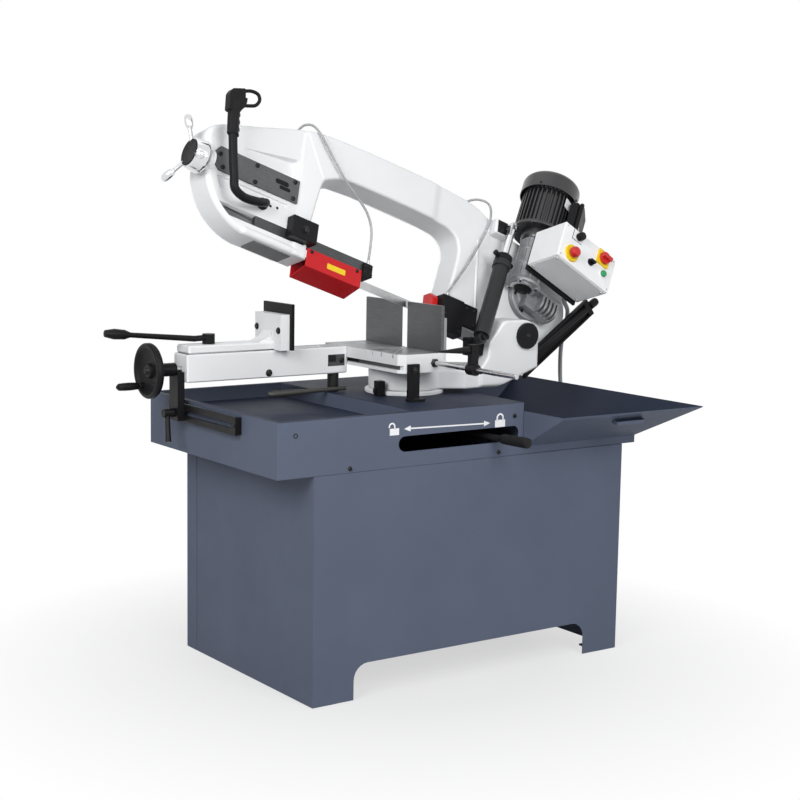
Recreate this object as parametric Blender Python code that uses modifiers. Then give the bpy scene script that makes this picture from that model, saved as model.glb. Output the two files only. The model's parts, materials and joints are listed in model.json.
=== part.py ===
"""Horizontal mitre band saw: bow on a swivel arm, vise and table on a sheet-metal cabinet."""
import math

import bmesh
import bpy
from mathutils import Matrix, Vector

for old in list(bpy.data.objects):
    bpy.data.objects.remove(old, do_unlink=True)

# Sizes in metres. Base pieces are measured from the cabinet's front left bottom corner.
GAP = 0.0003
SHEET = 0.003

CAB_W, CAB_D, CAB_H = 1.212, 0.782, 0.700
FOOT_W, FOOT_H, ARCH_R = 0.147, 0.114, 0.050
PAD, PAD_DROP = 0.085, 0.001

TRAY_X0, TRAY_X1, TRAY_D, TRAY_TOP = -0.126, 0.785, 0.798, 0.868
TRAY_Z0 = CAB_H + GAP
RECESS, RIM, PLATFORM_X = 0.045, 0.020, 0.360
SLOT_X0, SLOT_X1, SLOT_Z0, SLOT_Z1 = 0.300, 0.766, 0.748, 0.795

PAN_X1, PAN_RIM_X1, PAN_RIM_Y0 = 1.270, 1.390, -0.190
PAN_BEND, PAN_RIM_Z = 0.725, 0.835

AX, AY = 0.600, 0.400
RING_R, RING_Z1 = 0.130, 0.882
DRUM_R, POST_R, SPINDLE_R = 0.118, 0.045, 0.012
TABLE_Z0, TABLE_Z1 = 0.955, 1.015
TABLE_X0, TABLE_X1, TABLE_Y0, TABLE_Y1 = 0.445, 0.624, 0.200, 0.640
FENCE_T, FENCE_H, FENCE_GAP, RIB_TOP = 0.012, 0.150, 0.013, 1.125
KERF_W, KERF_D = 0.004, 0.015
MITRES = (0, 15, 30, 45)
TSLOT_Z, TSLOT_H, TSLOT_D = 0.972, 0.014, 0.014

ROD_X, ROD_Z, ROD_END, STOP_Y = 0.575, 0.984, -0.215, 0.000

VISE_Y, BED_HALF, BED_X0, BED_Z0 = 0.549, 0.045, -0.148, 0.927
SCREW_Z, SCREW_R, WHEEL_X, HANDWHEEL_R = 0.967, 0.010, -0.257, 0.086
JAW_X, JAW_TOP, PLATE_T = 0.200, 1.130, 0.0117
LEVER_X, LEVER_LEN = -0.049, 0.350

PX, PZ = 0.985, 1.050
ALPHA, BETA = math.radians(20.3), math.radians(18.0)
BLADE_DROP = 0.0315
EAR_X0, EAR_X1, EAR_Y0, EAR_Y1 = PX - 0.160, PX + 0.055, 0.240, 0.335
EAR_Z, EAR_LEAN, ARM_TOP = PZ - 0.065, 0.16, 0.948
PIN_R, CAP_R = 0.030, 0.0435
TRUNNION_R, TRUNNION_Y0, TRUNNION_Y1 = 0.050, 0.338, 0.365

WHEEL_R, WHEEL_T = 0.170, 0.170
IDLER_S, DRIVE_S = 1.050, -0.085
BOW_W, WALL_W, BEAM_W, COVER = 0.046, 0.024, 0.034, 0.004
BLADE_W, BLADE_T = 0.027, 0.0009
AXLE_R = 0.020
BAR_T0, BAR_T1, BAR_S0, BAR_S1 = 0.0215, 0.0565, 0.585, 1.045
BAR_W0, BAR_W1, GUIDE_TOP = 0.0305, 0.0455, 0.050
TENSION_W = 0.035
TRIGGER_IN, TRIGGER_PULL = 0.003, 0.005

GEAR_S, GEAR_T, GEAR_PHI = -0.017, 0.173, math.radians(13.0)
WORM_Y, WORM_R, WORM_LEN, WORM_FLANGE = -0.105, 0.050, 0.213, 0.058
MOTOR_R, MOTOR_LEN, COWL_R, COWL_LEN = 0.090, 0.170, 0.102, 0.052
BOX_X0, BOX_X1, BOX_Z0, BOX_Z1 = -0.058, 0.196, 0.0436, 0.1786
BOX_Y0, BOX_Y1 = -0.311, -0.1655
CONDUIT_X, CONDUIT_Z, CONDUIT_R, GLAND_Y, PLATE_Y = 0.170, 0.056, 0.0075, -0.135, -0.1553

CYL_FOOT = Vector((PX - 0.198, 0.235, PZ - 0.001))
CYL_HEAD_LOCAL = Vector((0.052, 0.101, 0.372))
CYL_R, CYL_LEN, ROD_R, EYE_R, EYE_PIN = 0.027, 0.352, 0.0125, 0.018, 0.008

WHITE, SLATE = (0.78, 0.79, 0.80), (0.125, 0.14, 0.195)
BLACK, DARK = (0.012, 0.012, 0.013), (0.06, 0.062, 0.065)
STEEL, ALLOY = (0.55, 0.56, 0.57), (0.46, 0.47, 0.48)
RED, GREEN, HOSE = (0.55, 0.012, 0.015), (0.02, 0.32, 0.12), (0.72, 0.73, 0.74)


def collection(name):
    made = bpy.data.collections.new(name)
    bpy.context.scene.collection.children.link(made)
    return made


PARTS, CUTTERS = collection("Band saw"), collection("Cutters")


def frame(name, matrix, parent=None):
    ob = bpy.data.objects.new(name, None)
    PARTS.objects.link(ob)
    ob.parent, ob.matrix_basis = parent, matrix
    return ob


E1 = Vector((-math.cos(ALPHA), 0, math.sin(ALPHA)))
E_UP = Vector((math.sin(ALPHA), 0, math.cos(ALPHA)))
BACK = Vector((0, 1, 0))
E2 = math.cos(BETA) * E_UP + math.sin(BETA) * BACK
FRONT = math.sin(BETA) * E_UP - math.cos(BETA) * BACK
BOW_O = Vector((PX, AY, PZ)) - BLADE_DROP * E_UP

MIDDLE = Vector(((LEVER_X - LEVER_LEN + PAN_RIM_X1) / 2, (ROD_END + TRAY_D) / 2, 0))
ROOT = frame("base_frame", Matrix.Translation(-MIDDLE))
BOW_M = Matrix((E1, FRONT, E2)).transposed().to_4x4()
BOW_M.translation = BOW_O
BOW = frame("bow_local", BOW_M, ROOT)
GEAR_M = Matrix(((-math.cos(GEAR_PHI), 0, -math.sin(GEAR_PHI)), (0, -1, 0),
                 (-math.sin(GEAR_PHI), 0, math.cos(GEAR_PHI)))).transposed().to_4x4()
GEAR_M.translation = (GEAR_S, 0, GEAR_T)
GEAR = frame("gear_local", GEAR_M, BOW)
UP_LOCAL = Vector((0, math.sin(BETA), math.cos(BETA)))
BACK_LOCAL = Vector((0, -math.cos(BETA), math.sin(BETA)))
PIVOT_LOCAL = BLADE_DROP * UP_LOCAL


# Shape helpers: each returns a bmesh in the piece's frame.
def box(x0, x1, y0, y1, z0, z1):
    bm = bmesh.new()
    size = Matrix.Diagonal((x1 - x0, y1 - y0, z1 - z0, 1))
    at = Matrix.Translation(((x0 + x1) / 2, (y0 + y1) / 2, (z0 + z1) / 2))
    bmesh.ops.create_cube(bm, size=1, matrix=at @ size)
    return bm


def rod(p, q, r, r2=None, n=12):
    p, q = Vector(p), Vector(q)
    turn = (q - p).to_track_quat("Z", "Y").to_matrix().to_4x4()
    bm = bmesh.new()
    bmesh.ops.create_cone(bm, cap_ends=True, segments=n, radius1=r, radius2=r if r2 is None else r2,
                          depth=(q - p).length, matrix=Matrix.Translation((p + q) / 2) @ turn)
    return bm


def ball(p, r, n=16, stretch=(1, 1, 1)):
    bm = bmesh.new()
    at = Matrix.Translation(p) @ Matrix.Diagonal((*stretch, 1))
    bmesh.ops.create_uvsphere(bm, u_segments=n, v_segments=n // 2, radius=r, matrix=at)
    return bm


def slab(points, axis, a, b):
    order = {"x": lambda u, v: (a, u, v), "y": lambda u, v: (u, a, v), "z": lambda u, v: (u, v, a)}[axis]
    step = Vector({"x": (b - a, 0, 0), "y": (0, b - a, 0), "z": (0, 0, b - a)}[axis])
    bm = bmesh.new()
    face = bm.faces.new([bm.verts.new(order(u, v)) for u, v in points])
    grown = bmesh.ops.extrude_face_region(bm, geom=[face])["geom"]
    bmesh.ops.translate(bm, vec=step, verts=[v for v in grown if isinstance(v, bmesh.types.BMVert)])
    bmesh.ops.recalc_face_normals(bm, faces=bm.faces)
    return bm


def lathe(profile, matrix, n=20):
    bm = bmesh.new()
    verts = [bm.verts.new((r, 0, z)) for r, z in profile]
    on_axis = profile[0][0] == 0 and profile[-1][0] == 0
    edges = [bm.edges.new((verts[i - 1], verts[i])) for i in range(1 if on_axis else 0, len(verts))]
    bmesh.ops.spin(bm, geom=verts + edges, cent=(0, 0, 0), axis=(0, 0, 1), angle=2 * math.pi,
                   steps=n, use_merge=True)
    bmesh.ops.remove_doubles(bm, verts=bm.verts, dist=1e-6)
    bmesh.ops.recalc_face_normals(bm, faces=bm.faces)
    bmesh.ops.transform(bm, matrix=matrix, verts=bm.verts)
    return bm


def along(p, direction):
    turn = Vector(direction).to_track_quat("Z", "Y").to_matrix().to_4x4()
    return Matrix.Translation(p) @ turn


def arc(cx, cy, r, a0, a1, n):
    steps = [math.radians(a0 + (a1 - a0) * i / n) for i in range(n + 1)]
    return [(cx + r * math.cos(a), cy + r * math.sin(a)) for a in steps]


def stadium(x0, x1, y0, y1, n=8):
    r, cy = (y1 - y0) / 2, (y0 + y1) / 2
    return arc(x1 - r, cy, r, -90, 90, n) + arc(x0 + r, cy, r, 90, 270, n)


def sheet_pan(rects):
    """Open-topped pan: rectangles (x0, x1, y0, y1, z) from the floor to the rim, folded from sheet."""
    bm = bmesh.new()
    rings = []
    for x0, x1, y0, y1, z in rects:
        rings.append([bm.verts.new(p) for p in ((x0, y0, z), (x1, y0, z), (x1, y1, z), (x0, y1, z))])
    bm.faces.new(rings[0])
    for low, high in zip(rings, rings[1:]):
        for i in range(4):
            bm.faces.new((low[i - 1], low[i], high[i], high[i - 1]))
    bmesh.ops.recalc_face_normals(bm, faces=bm.faces)
    return bm


def tube(points, r, res=2):
    """Round hose along a smooth curve through the points."""
    curve = bpy.data.curves.new("path", "CURVE")
    curve.dimensions = "3D"
    curve.bevel_depth, curve.bevel_resolution, curve.use_fill_caps = r, res, True
    spline = curve.splines.new("POLY")
    spline.points.add(len(points) - 1)
    for at, p in zip(spline.points, points):
        at.co = (*p, 1)
    ob = bpy.data.objects.new("path", curve)
    CUTTERS.objects.link(ob)
    graph = bpy.context.evaluated_depsgraph_get()
    mesh = bpy.data.meshes.new_from_object(ob.evaluated_get(graph))
    bm = bmesh.new()
    bm.from_mesh(mesh)
    bmesh.ops.remove_doubles(bm, verts=bm.verts, dist=1e-6)
    bmesh.ops.recalc_face_normals(bm, faces=bm.faces)
    bpy.data.objects.remove(ob)
    return bm


def smooth_path(points, steps):
    """Catmull-Rom points through the given ones, evenly stepped in each span."""
    pts = [Vector(p) for p in points]
    ends = [2 * pts[0] - pts[1]] + pts + [2 * pts[-1] - pts[-2]]
    out = []
    for a, b, c, d in zip(ends, ends[1:], ends[2:], ends[3:]):
        for i in range(steps):
            t = i / steps
            out.append(0.5 * (2 * b + (c - a) * t + (2 * a - 5 * b + 4 * c - d) * t * t
                              + (3 * b - a - 3 * c + d) * t ** 3))
    return out + [pts[-1]]


def part(name, bm, colour, parent, origin=(0, 0, 0), metal=0.0, rough=0.45, bevel=0.0, solid=0.0):
    origin = Vector(origin)
    bmesh.ops.translate(bm, vec=-origin, verts=bm.verts)
    mesh = bpy.data.meshes.new(name)
    bm.to_mesh(mesh)
    bm.free()
    ob = bpy.data.objects.new(name, mesh)
    PARTS.objects.link(ob)
    ob.parent, ob.location = parent, origin
    material = bpy.data.materials.new(name)
    material.use_nodes = True
    shader = material.node_tree.nodes["Principled BSDF"]
    shader.inputs["Base Color"].default_value = (*colour, 1)
    shader.inputs["Metallic"].default_value = metal
    shader.inputs["Roughness"].default_value = rough
    mesh.materials.append(material)
    if solid:
        sheet = ob.modifiers.new("Sheet", "SOLIDIFY")
        sheet.thickness, sheet.offset, sheet.use_even_offset = solid, -1, True
    if bevel:
        edge = ob.modifiers.new("Edges", "BEVEL")
        edge.width, edge.segments, edge.limit_method = bevel, 1, "ANGLE"
        edge.angle_limit = math.radians(40)
    return ob


def combine(ob, bm, operation):
    mesh = bpy.data.meshes.new(ob.name + "_tool")
    bm.to_mesh(mesh)
    bm.free()
    tool = bpy.data.objects.new(ob.name + "_tool", mesh)
    CUTTERS.objects.link(tool)
    tool.parent, tool.hide_render, tool.display_type = ob.parent, True, "WIRE"
    step = ob.modifiers.new(operation.title(), "BOOLEAN")
    step.operation, step.solver, step.object = operation, "EXACT", tool
    return ob


def cut(ob, *tools):
    for bm in tools:
        combine(ob, bm, "DIFFERENCE")
    return ob


def add(ob, *tools):
    for bm in tools:
        combine(ob, bm, "UNION")
    return ob


# Base: cabinet, tray, pan, coolant unit
def cabinet():
    ob = part("cabinet", box(0, CAB_W, 0, CAB_D, PAD_DROP, CAB_H), SLATE, ROOT)
    t, floor = SHEET, FOOT_H + SHEET
    cut(ob, box(t, CAB_W - t, t, CAB_D - t, floor, CAB_H + t), box(t, CAB_W - t, t, CAB_D - t, -t, FOOT_H))
    side = arc(FOOT_W + ARCH_R, FOOT_H - t - ARCH_R, ARCH_R, 180, 90, 6)
    other = arc(CAB_W - FOOT_W - ARCH_R, FOOT_H - t - ARCH_R, ARCH_R, 90, 0, 6)
    cut(ob, slab([(FOOT_W, -t)] + side + other + [(CAB_W - FOOT_W, -t)], "y", -t, CAB_D + t))
    for x in (t / 2, CAB_W - t / 2 - PAD):
        for y in (t / 2, CAB_D - t / 2 - PAD):
            add(ob, box(x, x + PAD, y, y + PAD, 0, 0.006))
    return ob


def tray():
    t = SHEET
    ob = part("tray", box(TRAY_X0, TRAY_X1, 0, TRAY_D, TRAY_Z0, TRAY_TOP), SLATE, ROOT)
    under = TRAY_TOP - RECESS - t
    cut(ob, box(TRAY_X0 + t, TRAY_X1 - t, t, TRAY_D - t, TRAY_Z0 + t, under),
        box(t, TRAY_X1 - t, t, CAB_D - t, TRAY_Z0 - t, TRAY_Z0 + 2 * t),
        box(PLATFORM_X + t, TRAY_X1 - t, t, TRAY_D - t, under - t, TRAY_TOP - t),
        box(TRAY_X0 + RIM, PLATFORM_X, RIM, TRAY_D - RIM, TRAY_TOP - RECESS, TRAY_TOP + t),
        slab(stadium(SLOT_X0, SLOT_X1, SLOT_Z0, SLOT_Z1), "y", -t, 2 * t),
        rod((AX, AY, TRAY_TOP - 2 * t), (AX, AY, TRAY_TOP + t), SPINDLE_R + 0.002))
    return ob


def chip_pan():
    x0, y1, z0 = TRAY_X1 + 0.0005, CAB_D - SHEET, CAB_H + GAP
    shape = sheet_pan(((x0, PAN_X1, SHEET, y1, z0), (x0, PAN_X1, SHEET, y1, PAN_BEND),
                       (x0, PAN_RIM_X1, PAN_RIM_Y0, y1, PAN_RIM_Z)))
    ob = part("chip_pan", shape, SLATE, ROOT, solid=SHEET)
    tab = slab([(-0.142, 0.8035), (-0.168, 0.797), (-0.171, 0.809), (-0.152, 0.814)], "x", 1.03, 1.15)
    return add(ob, tab)


def coolant_unit():
    x0, x1, y0, y1, z0, z1 = 0.80, 1.14, 0.20, 0.60, FOOT_H + SHEET + GAP, 0.300
    part("coolant_tank", sheet_pan(((x0, x1, y0, y1, z0), (x0, x1, y0, y1, z1))), SLATE, ROOT, solid=SHEET)
    px, py, top = x0 + 0.075, y0 + 0.085, z1 + GAP
    ob = part("coolant_pump", box(x0 - 0.01, x0 + 0.16, y0 - 0.01, y0 + 0.18, top, top + 0.006), BLACK, ROOT)
    add(ob, rod((px, py, top + 0.004), (px, py, top + 0.150), 0.055),
        rod((px, py, top + 0.002), (px, py, z0 + 0.03), 0.035))
    return ob


def slot_plate():
    x1 = TRAY_X0 - GAP
    ob = part("slot_plate", box(-0.148, -0.140, 0.206, 0.627, 0.804, 0.860), BLACK, ROOT, bevel=0.001)
    add(ob, box(-0.141, x1, 0.206, 0.224, 0.806, 0.858), box(-0.141, x1, 0.609, 0.627, 0.806, 0.858))
    return cut(ob, slab(stadium(0.230, 0.603, 0.824, 0.840), "x", -0.16, -0.13))


# Turntable, table and fence
def turntable():
    z0, top = TRAY_TOP + GAP, TABLE_Z0 - GAP
    bore = SPINDLE_R + GAP
    profile = [(bore, z0), (RING_R, z0), (RING_R, RING_Z1 - 0.004), (RING_R - 0.004, RING_Z1),
               (POST_R, RING_Z1), (POST_R, top), (bore, top)]
    part("turntable_base", lathe(profile, Matrix.Translation((AX, AY, 0)), 32), WHITE, ROOT, (AX, AY, 0))


def work_table():
    x1 = AX + FENCE_T
    ob = part("work_table", slab([(TABLE_X0 + 0.02, TABLE_Y0), (x1, TABLE_Y0), (x1, TABLE_Y1),
                                  (TABLE_X0, TABLE_Y1), (TABLE_X0, TABLE_Y0 + 0.02)], "z", TABLE_Z0, TABLE_Z1),
              WHITE, ROOT)
    for y0, y1 in ((TABLE_Y0 + 0.003, AY - 0.03), (AY + 0.055, TABLE_Y1 - 0.03)):
        add(ob, box(x1 - 0.004, x1 + GAP, y0 + 0.004, y1 - 0.004, TABLE_Z0 + 0.006, TABLE_Z1 - 0.004))
        add(ob, box(x1 + GAP / 2, TABLE_X1, y0, y1, TABLE_Z0 + 0.004, RIB_TOP))
    cut(ob, box(TABLE_X0 - 0.01, TABLE_X0 + TSLOT_D, TABLE_Y0 - 0.01, TABLE_Y1 + 0.01,
                TSLOT_Z - TSLOT_H / 2, TSLOT_Z + TSLOT_H / 2))
    for deg in MITRES:
        kerf = box(-0.36, 0.05, -KERF_W / 2, KERF_W / 2, TABLE_Z1 - KERF_D, TABLE_Z1 + 0.01)
        turn = Matrix.Translation((AX, AY, 0)) @ Matrix.Rotation(math.radians(deg), 4, "Z")
        bmesh.ops.transform(kerf, matrix=turn, verts=kerf.verts)
        cut(ob, kerf)


def fence():
    z0, z1, x1 = TABLE_Z1 + GAP, TABLE_Z1 + FENCE_H, AX + FENCE_T
    y0, y1 = AY - FENCE_GAP, AY + FENCE_GAP
    part("fence_front", slab([(AX, TABLE_Y0), (x1, TABLE_Y0), (x1, y0), (AX, y0)], "z", z0, z1), DARK, ROOT,
         metal=0.8)
    bevel = FENCE_T * math.tan(math.radians(62))
    part("fence_rear", slab([(AX, y1), (x1, y1 + bevel), (x1, 0.627), (AX, 0.627)], "z", z0, z1), DARK, ROOT,
         metal=0.8)


def table_bracket():
    y1 = TABLE_Y0 - GAP
    ob = part("table_bracket", box(0.468, 0.510, y1 - 0.012, y1, TRAY_TOP + GAP, 0.985), BLACK, ROOT)
    add(ob, box(0.462, 0.516, y1 - 0.035, y1 - 0.002, TRAY_TOP + GAP, TRAY_TOP + 0.008))


def mitre_lever():
    a, z = math.radians(8.6), 0.765
    tip = Vector((AX + 0.557 * math.sin(a), AY - 0.557 * math.cos(a), z))
    way = Vector((math.sin(a), -math.cos(a), 0))
    ob = part("mitre_lever", rod((AX, AY, z - 0.024), (AX, AY, z + 0.024), 0.032), BLACK, ROOT, (AX, AY, z))
    add(ob, rod((AX, AY, z), (AX, AY, TABLE_Z0 - 0.02), SPINDLE_R), rod(Vector((AX, AY, z)), tip - 0.11 * way, 0.010),
        rod(tip - 0.115 * way, tip, 0.014, 0.0165))


# Length stop on the table's front
def length_stop():
    y1 = TABLE_Y0 - GAP
    part("stop_rod", rod((ROD_X, y1, ROD_Z), (ROD_X, ROD_END, ROD_Z), 0.008), STEEL, ROOT, metal=1.0)
    ob = part("stop_bracket", rod((ROD_X, STOP_Y + 0.018, ROD_Z), (ROD_X, STOP_Y - 0.018, ROD_Z), 0.019),
              BLACK, ROOT, (ROD_X, STOP_Y, ROD_Z))
    add(ob, box(ROD_X - 0.013, ROD_X + 0.013, STOP_Y - 0.011, STOP_Y + 0.011, ROD_Z + 0.012, 1.062),
        rod((ROD_X, STOP_Y, ROD_Z), (ROD_X + 0.034, STOP_Y, ROD_Z - 0.012), 0.006))
    cut(ob, rod((ROD_X, STOP_Y + 0.05, ROD_Z), (ROD_X, STOP_Y - 0.05, ROD_Z), 0.008 + GAP),
        rod((ROD_X - 0.05, STOP_Y, 1.045), (ROD_X + 0.05, STOP_Y, 1.045), 0.0053))
    profile = [(0, 0), (0.005, 0), (0.005, 0.034), (0.0105, 0.036), (0.0105, 0.060), (0.003, 0.150), (0, 0.150)]
    part("stop_finger", lathe(profile, along((ROD_X + 0.020, STOP_Y, 1.045), (-1, 0, 0)), 14), BLACK, ROOT,
         (ROD_X, STOP_Y, 1.045))


# Vise
def vise():
    x1, half = TABLE_X0 - GAP, BED_HALF
    bed = part("vise_bed", box(BED_X0, x1, VISE_Y - half, VISE_Y + half, BED_Z0, TABLE_Z1), WHITE, ROOT,
               (0, VISE_Y, 0), bevel=0.004)
    cut(bed, box(BED_X0 + 0.026, 0.372, VISE_Y - 0.026, VISE_Y + 0.026, BED_Z0 - 0.01, 0.990),
        box(BED_X0 + 0.026, 0.372, VISE_Y - 0.012, VISE_Y + 0.012, 0.980, TABLE_Z1 + 0.01),
        rod((BED_X0 - 0.01, VISE_Y, SCREW_Z), (BED_X0 + 0.04, VISE_Y, SCREW_Z), SCREW_R + GAP, n=24))
    add(bed, box(x1 - 0.003, x1 + TSLOT_D - 0.002, VISE_Y - 0.03, VISE_Y + 0.03,
                 TSLOT_Z - TSLOT_H / 2 + GAP, TSLOT_Z + TSLOT_H / 2 - GAP))

    z0 = TABLE_Z1 + GAP
    jaw = part("vise_jaw", box(-0.140, JAW_X, VISE_Y - 0.042, VISE_Y + 0.042, z0, z0 + 0.026), WHITE, ROOT,
               (0, VISE_Y, SCREW_Z), bevel=0.005)
    add(jaw, box(JAW_X - 0.034, JAW_X - 0.0002, 0.470, 0.628, z0 + 0.0005, JAW_TOP),
        slab([(JAW_X - 0.10, z0 + 0.020), (JAW_X - 0.02, z0 + 0.020), (JAW_X - 0.02, z0 + 0.075),
              (JAW_X - 0.05, z0 + 0.040)], "y", VISE_Y - 0.03, VISE_Y + 0.03),
        box(-0.100, -0.050, VISE_Y - 0.0115, VISE_Y + 0.0115, 0.970, z0 + 0.005),
        box(-0.100, -0.050, VISE_Y - 0.022, VISE_Y + 0.022, 0.945, 0.9885))
    cut(jaw, rod((-0.12, VISE_Y, SCREW_Z), (-0.03, VISE_Y, SCREW_Z), SCREW_R + GAP, n=24))
    part("jaw_plate", box(JAW_X + GAP, JAW_X + PLATE_T, 0.459, 0.634, TABLE_Z1 + 0.0005, 1.163), BLACK, ROOT,
         (0, VISE_Y, SCREW_Z), metal=0.6)

    top = z0 + 0.026
    lever = part("quick_lever", rod((LEVER_X, VISE_Y, top + GAP), (LEVER_X, VISE_Y, top + 0.032), 0.020), BLACK,
                 ROOT, (LEVER_X, VISE_Y, top))
    bend, tip = Vector((LEVER_X - 0.05, VISE_Y, top + 0.018)), Vector((LEVER_X - LEVER_LEN, VISE_Y, 1.088))
    add(lever, rod((LEVER_X, VISE_Y, top + 0.020), bend, 0.0095), ball(bend, 0.0097, 8),
        rod(bend, tip.lerp(bend, 0.25), 0.0095, 0.008),
        lathe([(0, 0), (0.0079, 0), (0.015, 0.02), (0.0165, 0.055), (0.011, 0.085), (0, 0.088)],
              along(tip.lerp(bend, 0.27), tip - bend), 12))

    screw = part("vise_screw", rod((WHEEL_X - 0.012, VISE_Y, SCREW_Z), (0.345, VISE_Y, SCREW_Z), SCREW_R, n=24), STEEL,
                 ROOT, (WHEEL_X, VISE_Y, SCREW_Z), metal=1.0)
    at = along((WHEEL_X, VISE_Y, SCREW_Z), (-1, 0, 0))
    bore = SCREW_R + GAP
    rim = HANDWHEEL_R
    dish = [(bore, -0.018), (0.022, -0.018), (0.024, -0.006), (0.060, 0.004), (rim - 0.012, -0.012),
            (rim, -0.008), (rim, 0.010), (rim - 0.012, 0.010), (0.060, 0.011), (0.024, 0.010), (bore, 0.010)]
    wheel = part("handwheel", lathe(dish, at, 26), BLACK, ROOT, (WHEEL_X, VISE_Y, SCREW_Z))
    a = math.radians(310)
    grip_y, grip_z = VISE_Y + 0.066 * math.cos(a), SCREW_Z + 0.066 * math.sin(a)
    add(wheel, rod((WHEEL_X - 0.001, grip_y, grip_z), (WHEEL_X - 0.088, grip_y, grip_z), 0.005))
    sleeve = [(0.005 + GAP, 0.0135), (0.010, 0.0135), (0.0125, 0.04), (0.0115, 0.084), (0.005 + GAP, 0.084)]
    part("handwheel_grip", lathe(sleeve, along((WHEEL_X, grip_y, grip_z), (-1, 0, 0)), 14), BLACK, ROOT,
         (WHEEL_X, grip_y, grip_z))

    x0, x1 = BED_X0 - 0.024, BED_X0 - GAP
    bracket = part("vise_bracket", box(x0, x1, VISE_Y - 0.028, VISE_Y + 0.028, 0.808, 0.960), BLACK, ROOT,
                   (0, VISE_Y, 0))
    add(bracket, rod((x0 + 0.004, VISE_Y, SCREW_Z), (x0 - 0.042, VISE_Y, SCREW_Z), 0.021))
    cut(bracket, rod((x0 - 0.06, VISE_Y, SCREW_Z), (x1 + 0.01, VISE_Y, SCREW_Z), SCREW_R + GAP, n=24),
        rod((x0 - 0.01, VISE_Y, 0.832), (x1 + 0.01, VISE_Y, 0.832), 0.0063))
    clamp = part("vise_clamp", rod((x0 - GAP, VISE_Y, 0.832), (x0 - 0.036, VISE_Y, 0.832), 0.014), BLACK, ROOT,
                 (x0, VISE_Y, 0.832))
    add(clamp, rod((x0 - 0.01, VISE_Y, 0.832), (-0.134, VISE_Y, 0.832), 0.006),
        rod((-0.1397, VISE_Y, 0.832), (-0.1305, VISE_Y, 0.832), 0.0125),
        rod((x0 - 0.022, VISE_Y, 0.832), (x0 - 0.034, VISE_Y - 0.03, 0.745), 0.0075, 0.0095))


# Swivel arm with the bow's pivot
def swivel_arm():
    z0, top, bore = RING_Z1 + GAP, TABLE_Z0 - 0.0005, POST_R + GAP
    drum = [(bore, z0), (DRUM_R, z0), (DRUM_R, top), (bore, top)]
    ob = part("swivel_arm", lathe(drum, Matrix.Translation((AX, AY, 0)), 36), WHITE, ROOT, (AX, AY, 0))
    toe, low = EAR_X0 - 0.025, ARM_TOP - 0.058
    plan = [(AX + 0.060, 0.302), (EAR_X0 - 0.085, 0.252), (EAR_X1, EAR_Y0 + 0.001), (EAR_X1, EAR_Y1 - 0.001),
            (EAR_X1 - 0.080, 0.372), (EAR_X0 - 0.045, 0.500), (AX + 0.060, 0.498)]
    add(ob, slab(plan, "z", z0 + 0.001, ARM_TOP))
    ear = [(toe, low), (EAR_X1 - 0.002, low)] + arc(EAR_X1 - 0.065, PZ - 0.012, 0.065, 0, 90, 8)
    ear += arc(PX - 0.080, PZ + 0.022, 0.031, 90, 150, 4)
    ear += [(EAR_X0 + EAR_LEAN * 0.050, EAR_Z + 0.050), (EAR_X0, EAR_Z), (toe, ARM_TOP + 0.004)]
    add(ob, slab(ear, "y", EAR_Y0, EAR_Y1))
    cut(ob, slab([(toe + 0.015, z0 - 0.02), (EAR_X1 + 0.02, z0 - 0.02), (EAR_X1 + 0.02, ARM_TOP)], "y", 0.20, 0.60),
        rod((PX, EAR_Y0 - 0.01, PZ), (PX, TRUNNION_Y1, PZ), PIN_R + GAP, n=28))


def pivot_pin():
    ob = part("pivot_pin", rod((PX, EAR_Y0 - 0.012, PZ), (PX, EAR_Y0 - GAP, PZ), CAP_R, n=28), BLACK, ROOT,
              (PX, EAR_Y0, PZ))
    add(ob, rod((PX, EAR_Y0 - 0.004, PZ), (PX, TRUNNION_Y1 - 0.004, PZ), PIN_R, n=28))


HEAD = BOW_M @ CYL_HEAD_LOCAL
CYL_WAY = (HEAD - CYL_FOOT).normalized()
CYL_AXIS = CYL_WAY.cross(E1).normalized()
if CYL_AXIS.y < 0:
    CYL_AXIS = -CYL_AXIS


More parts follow.
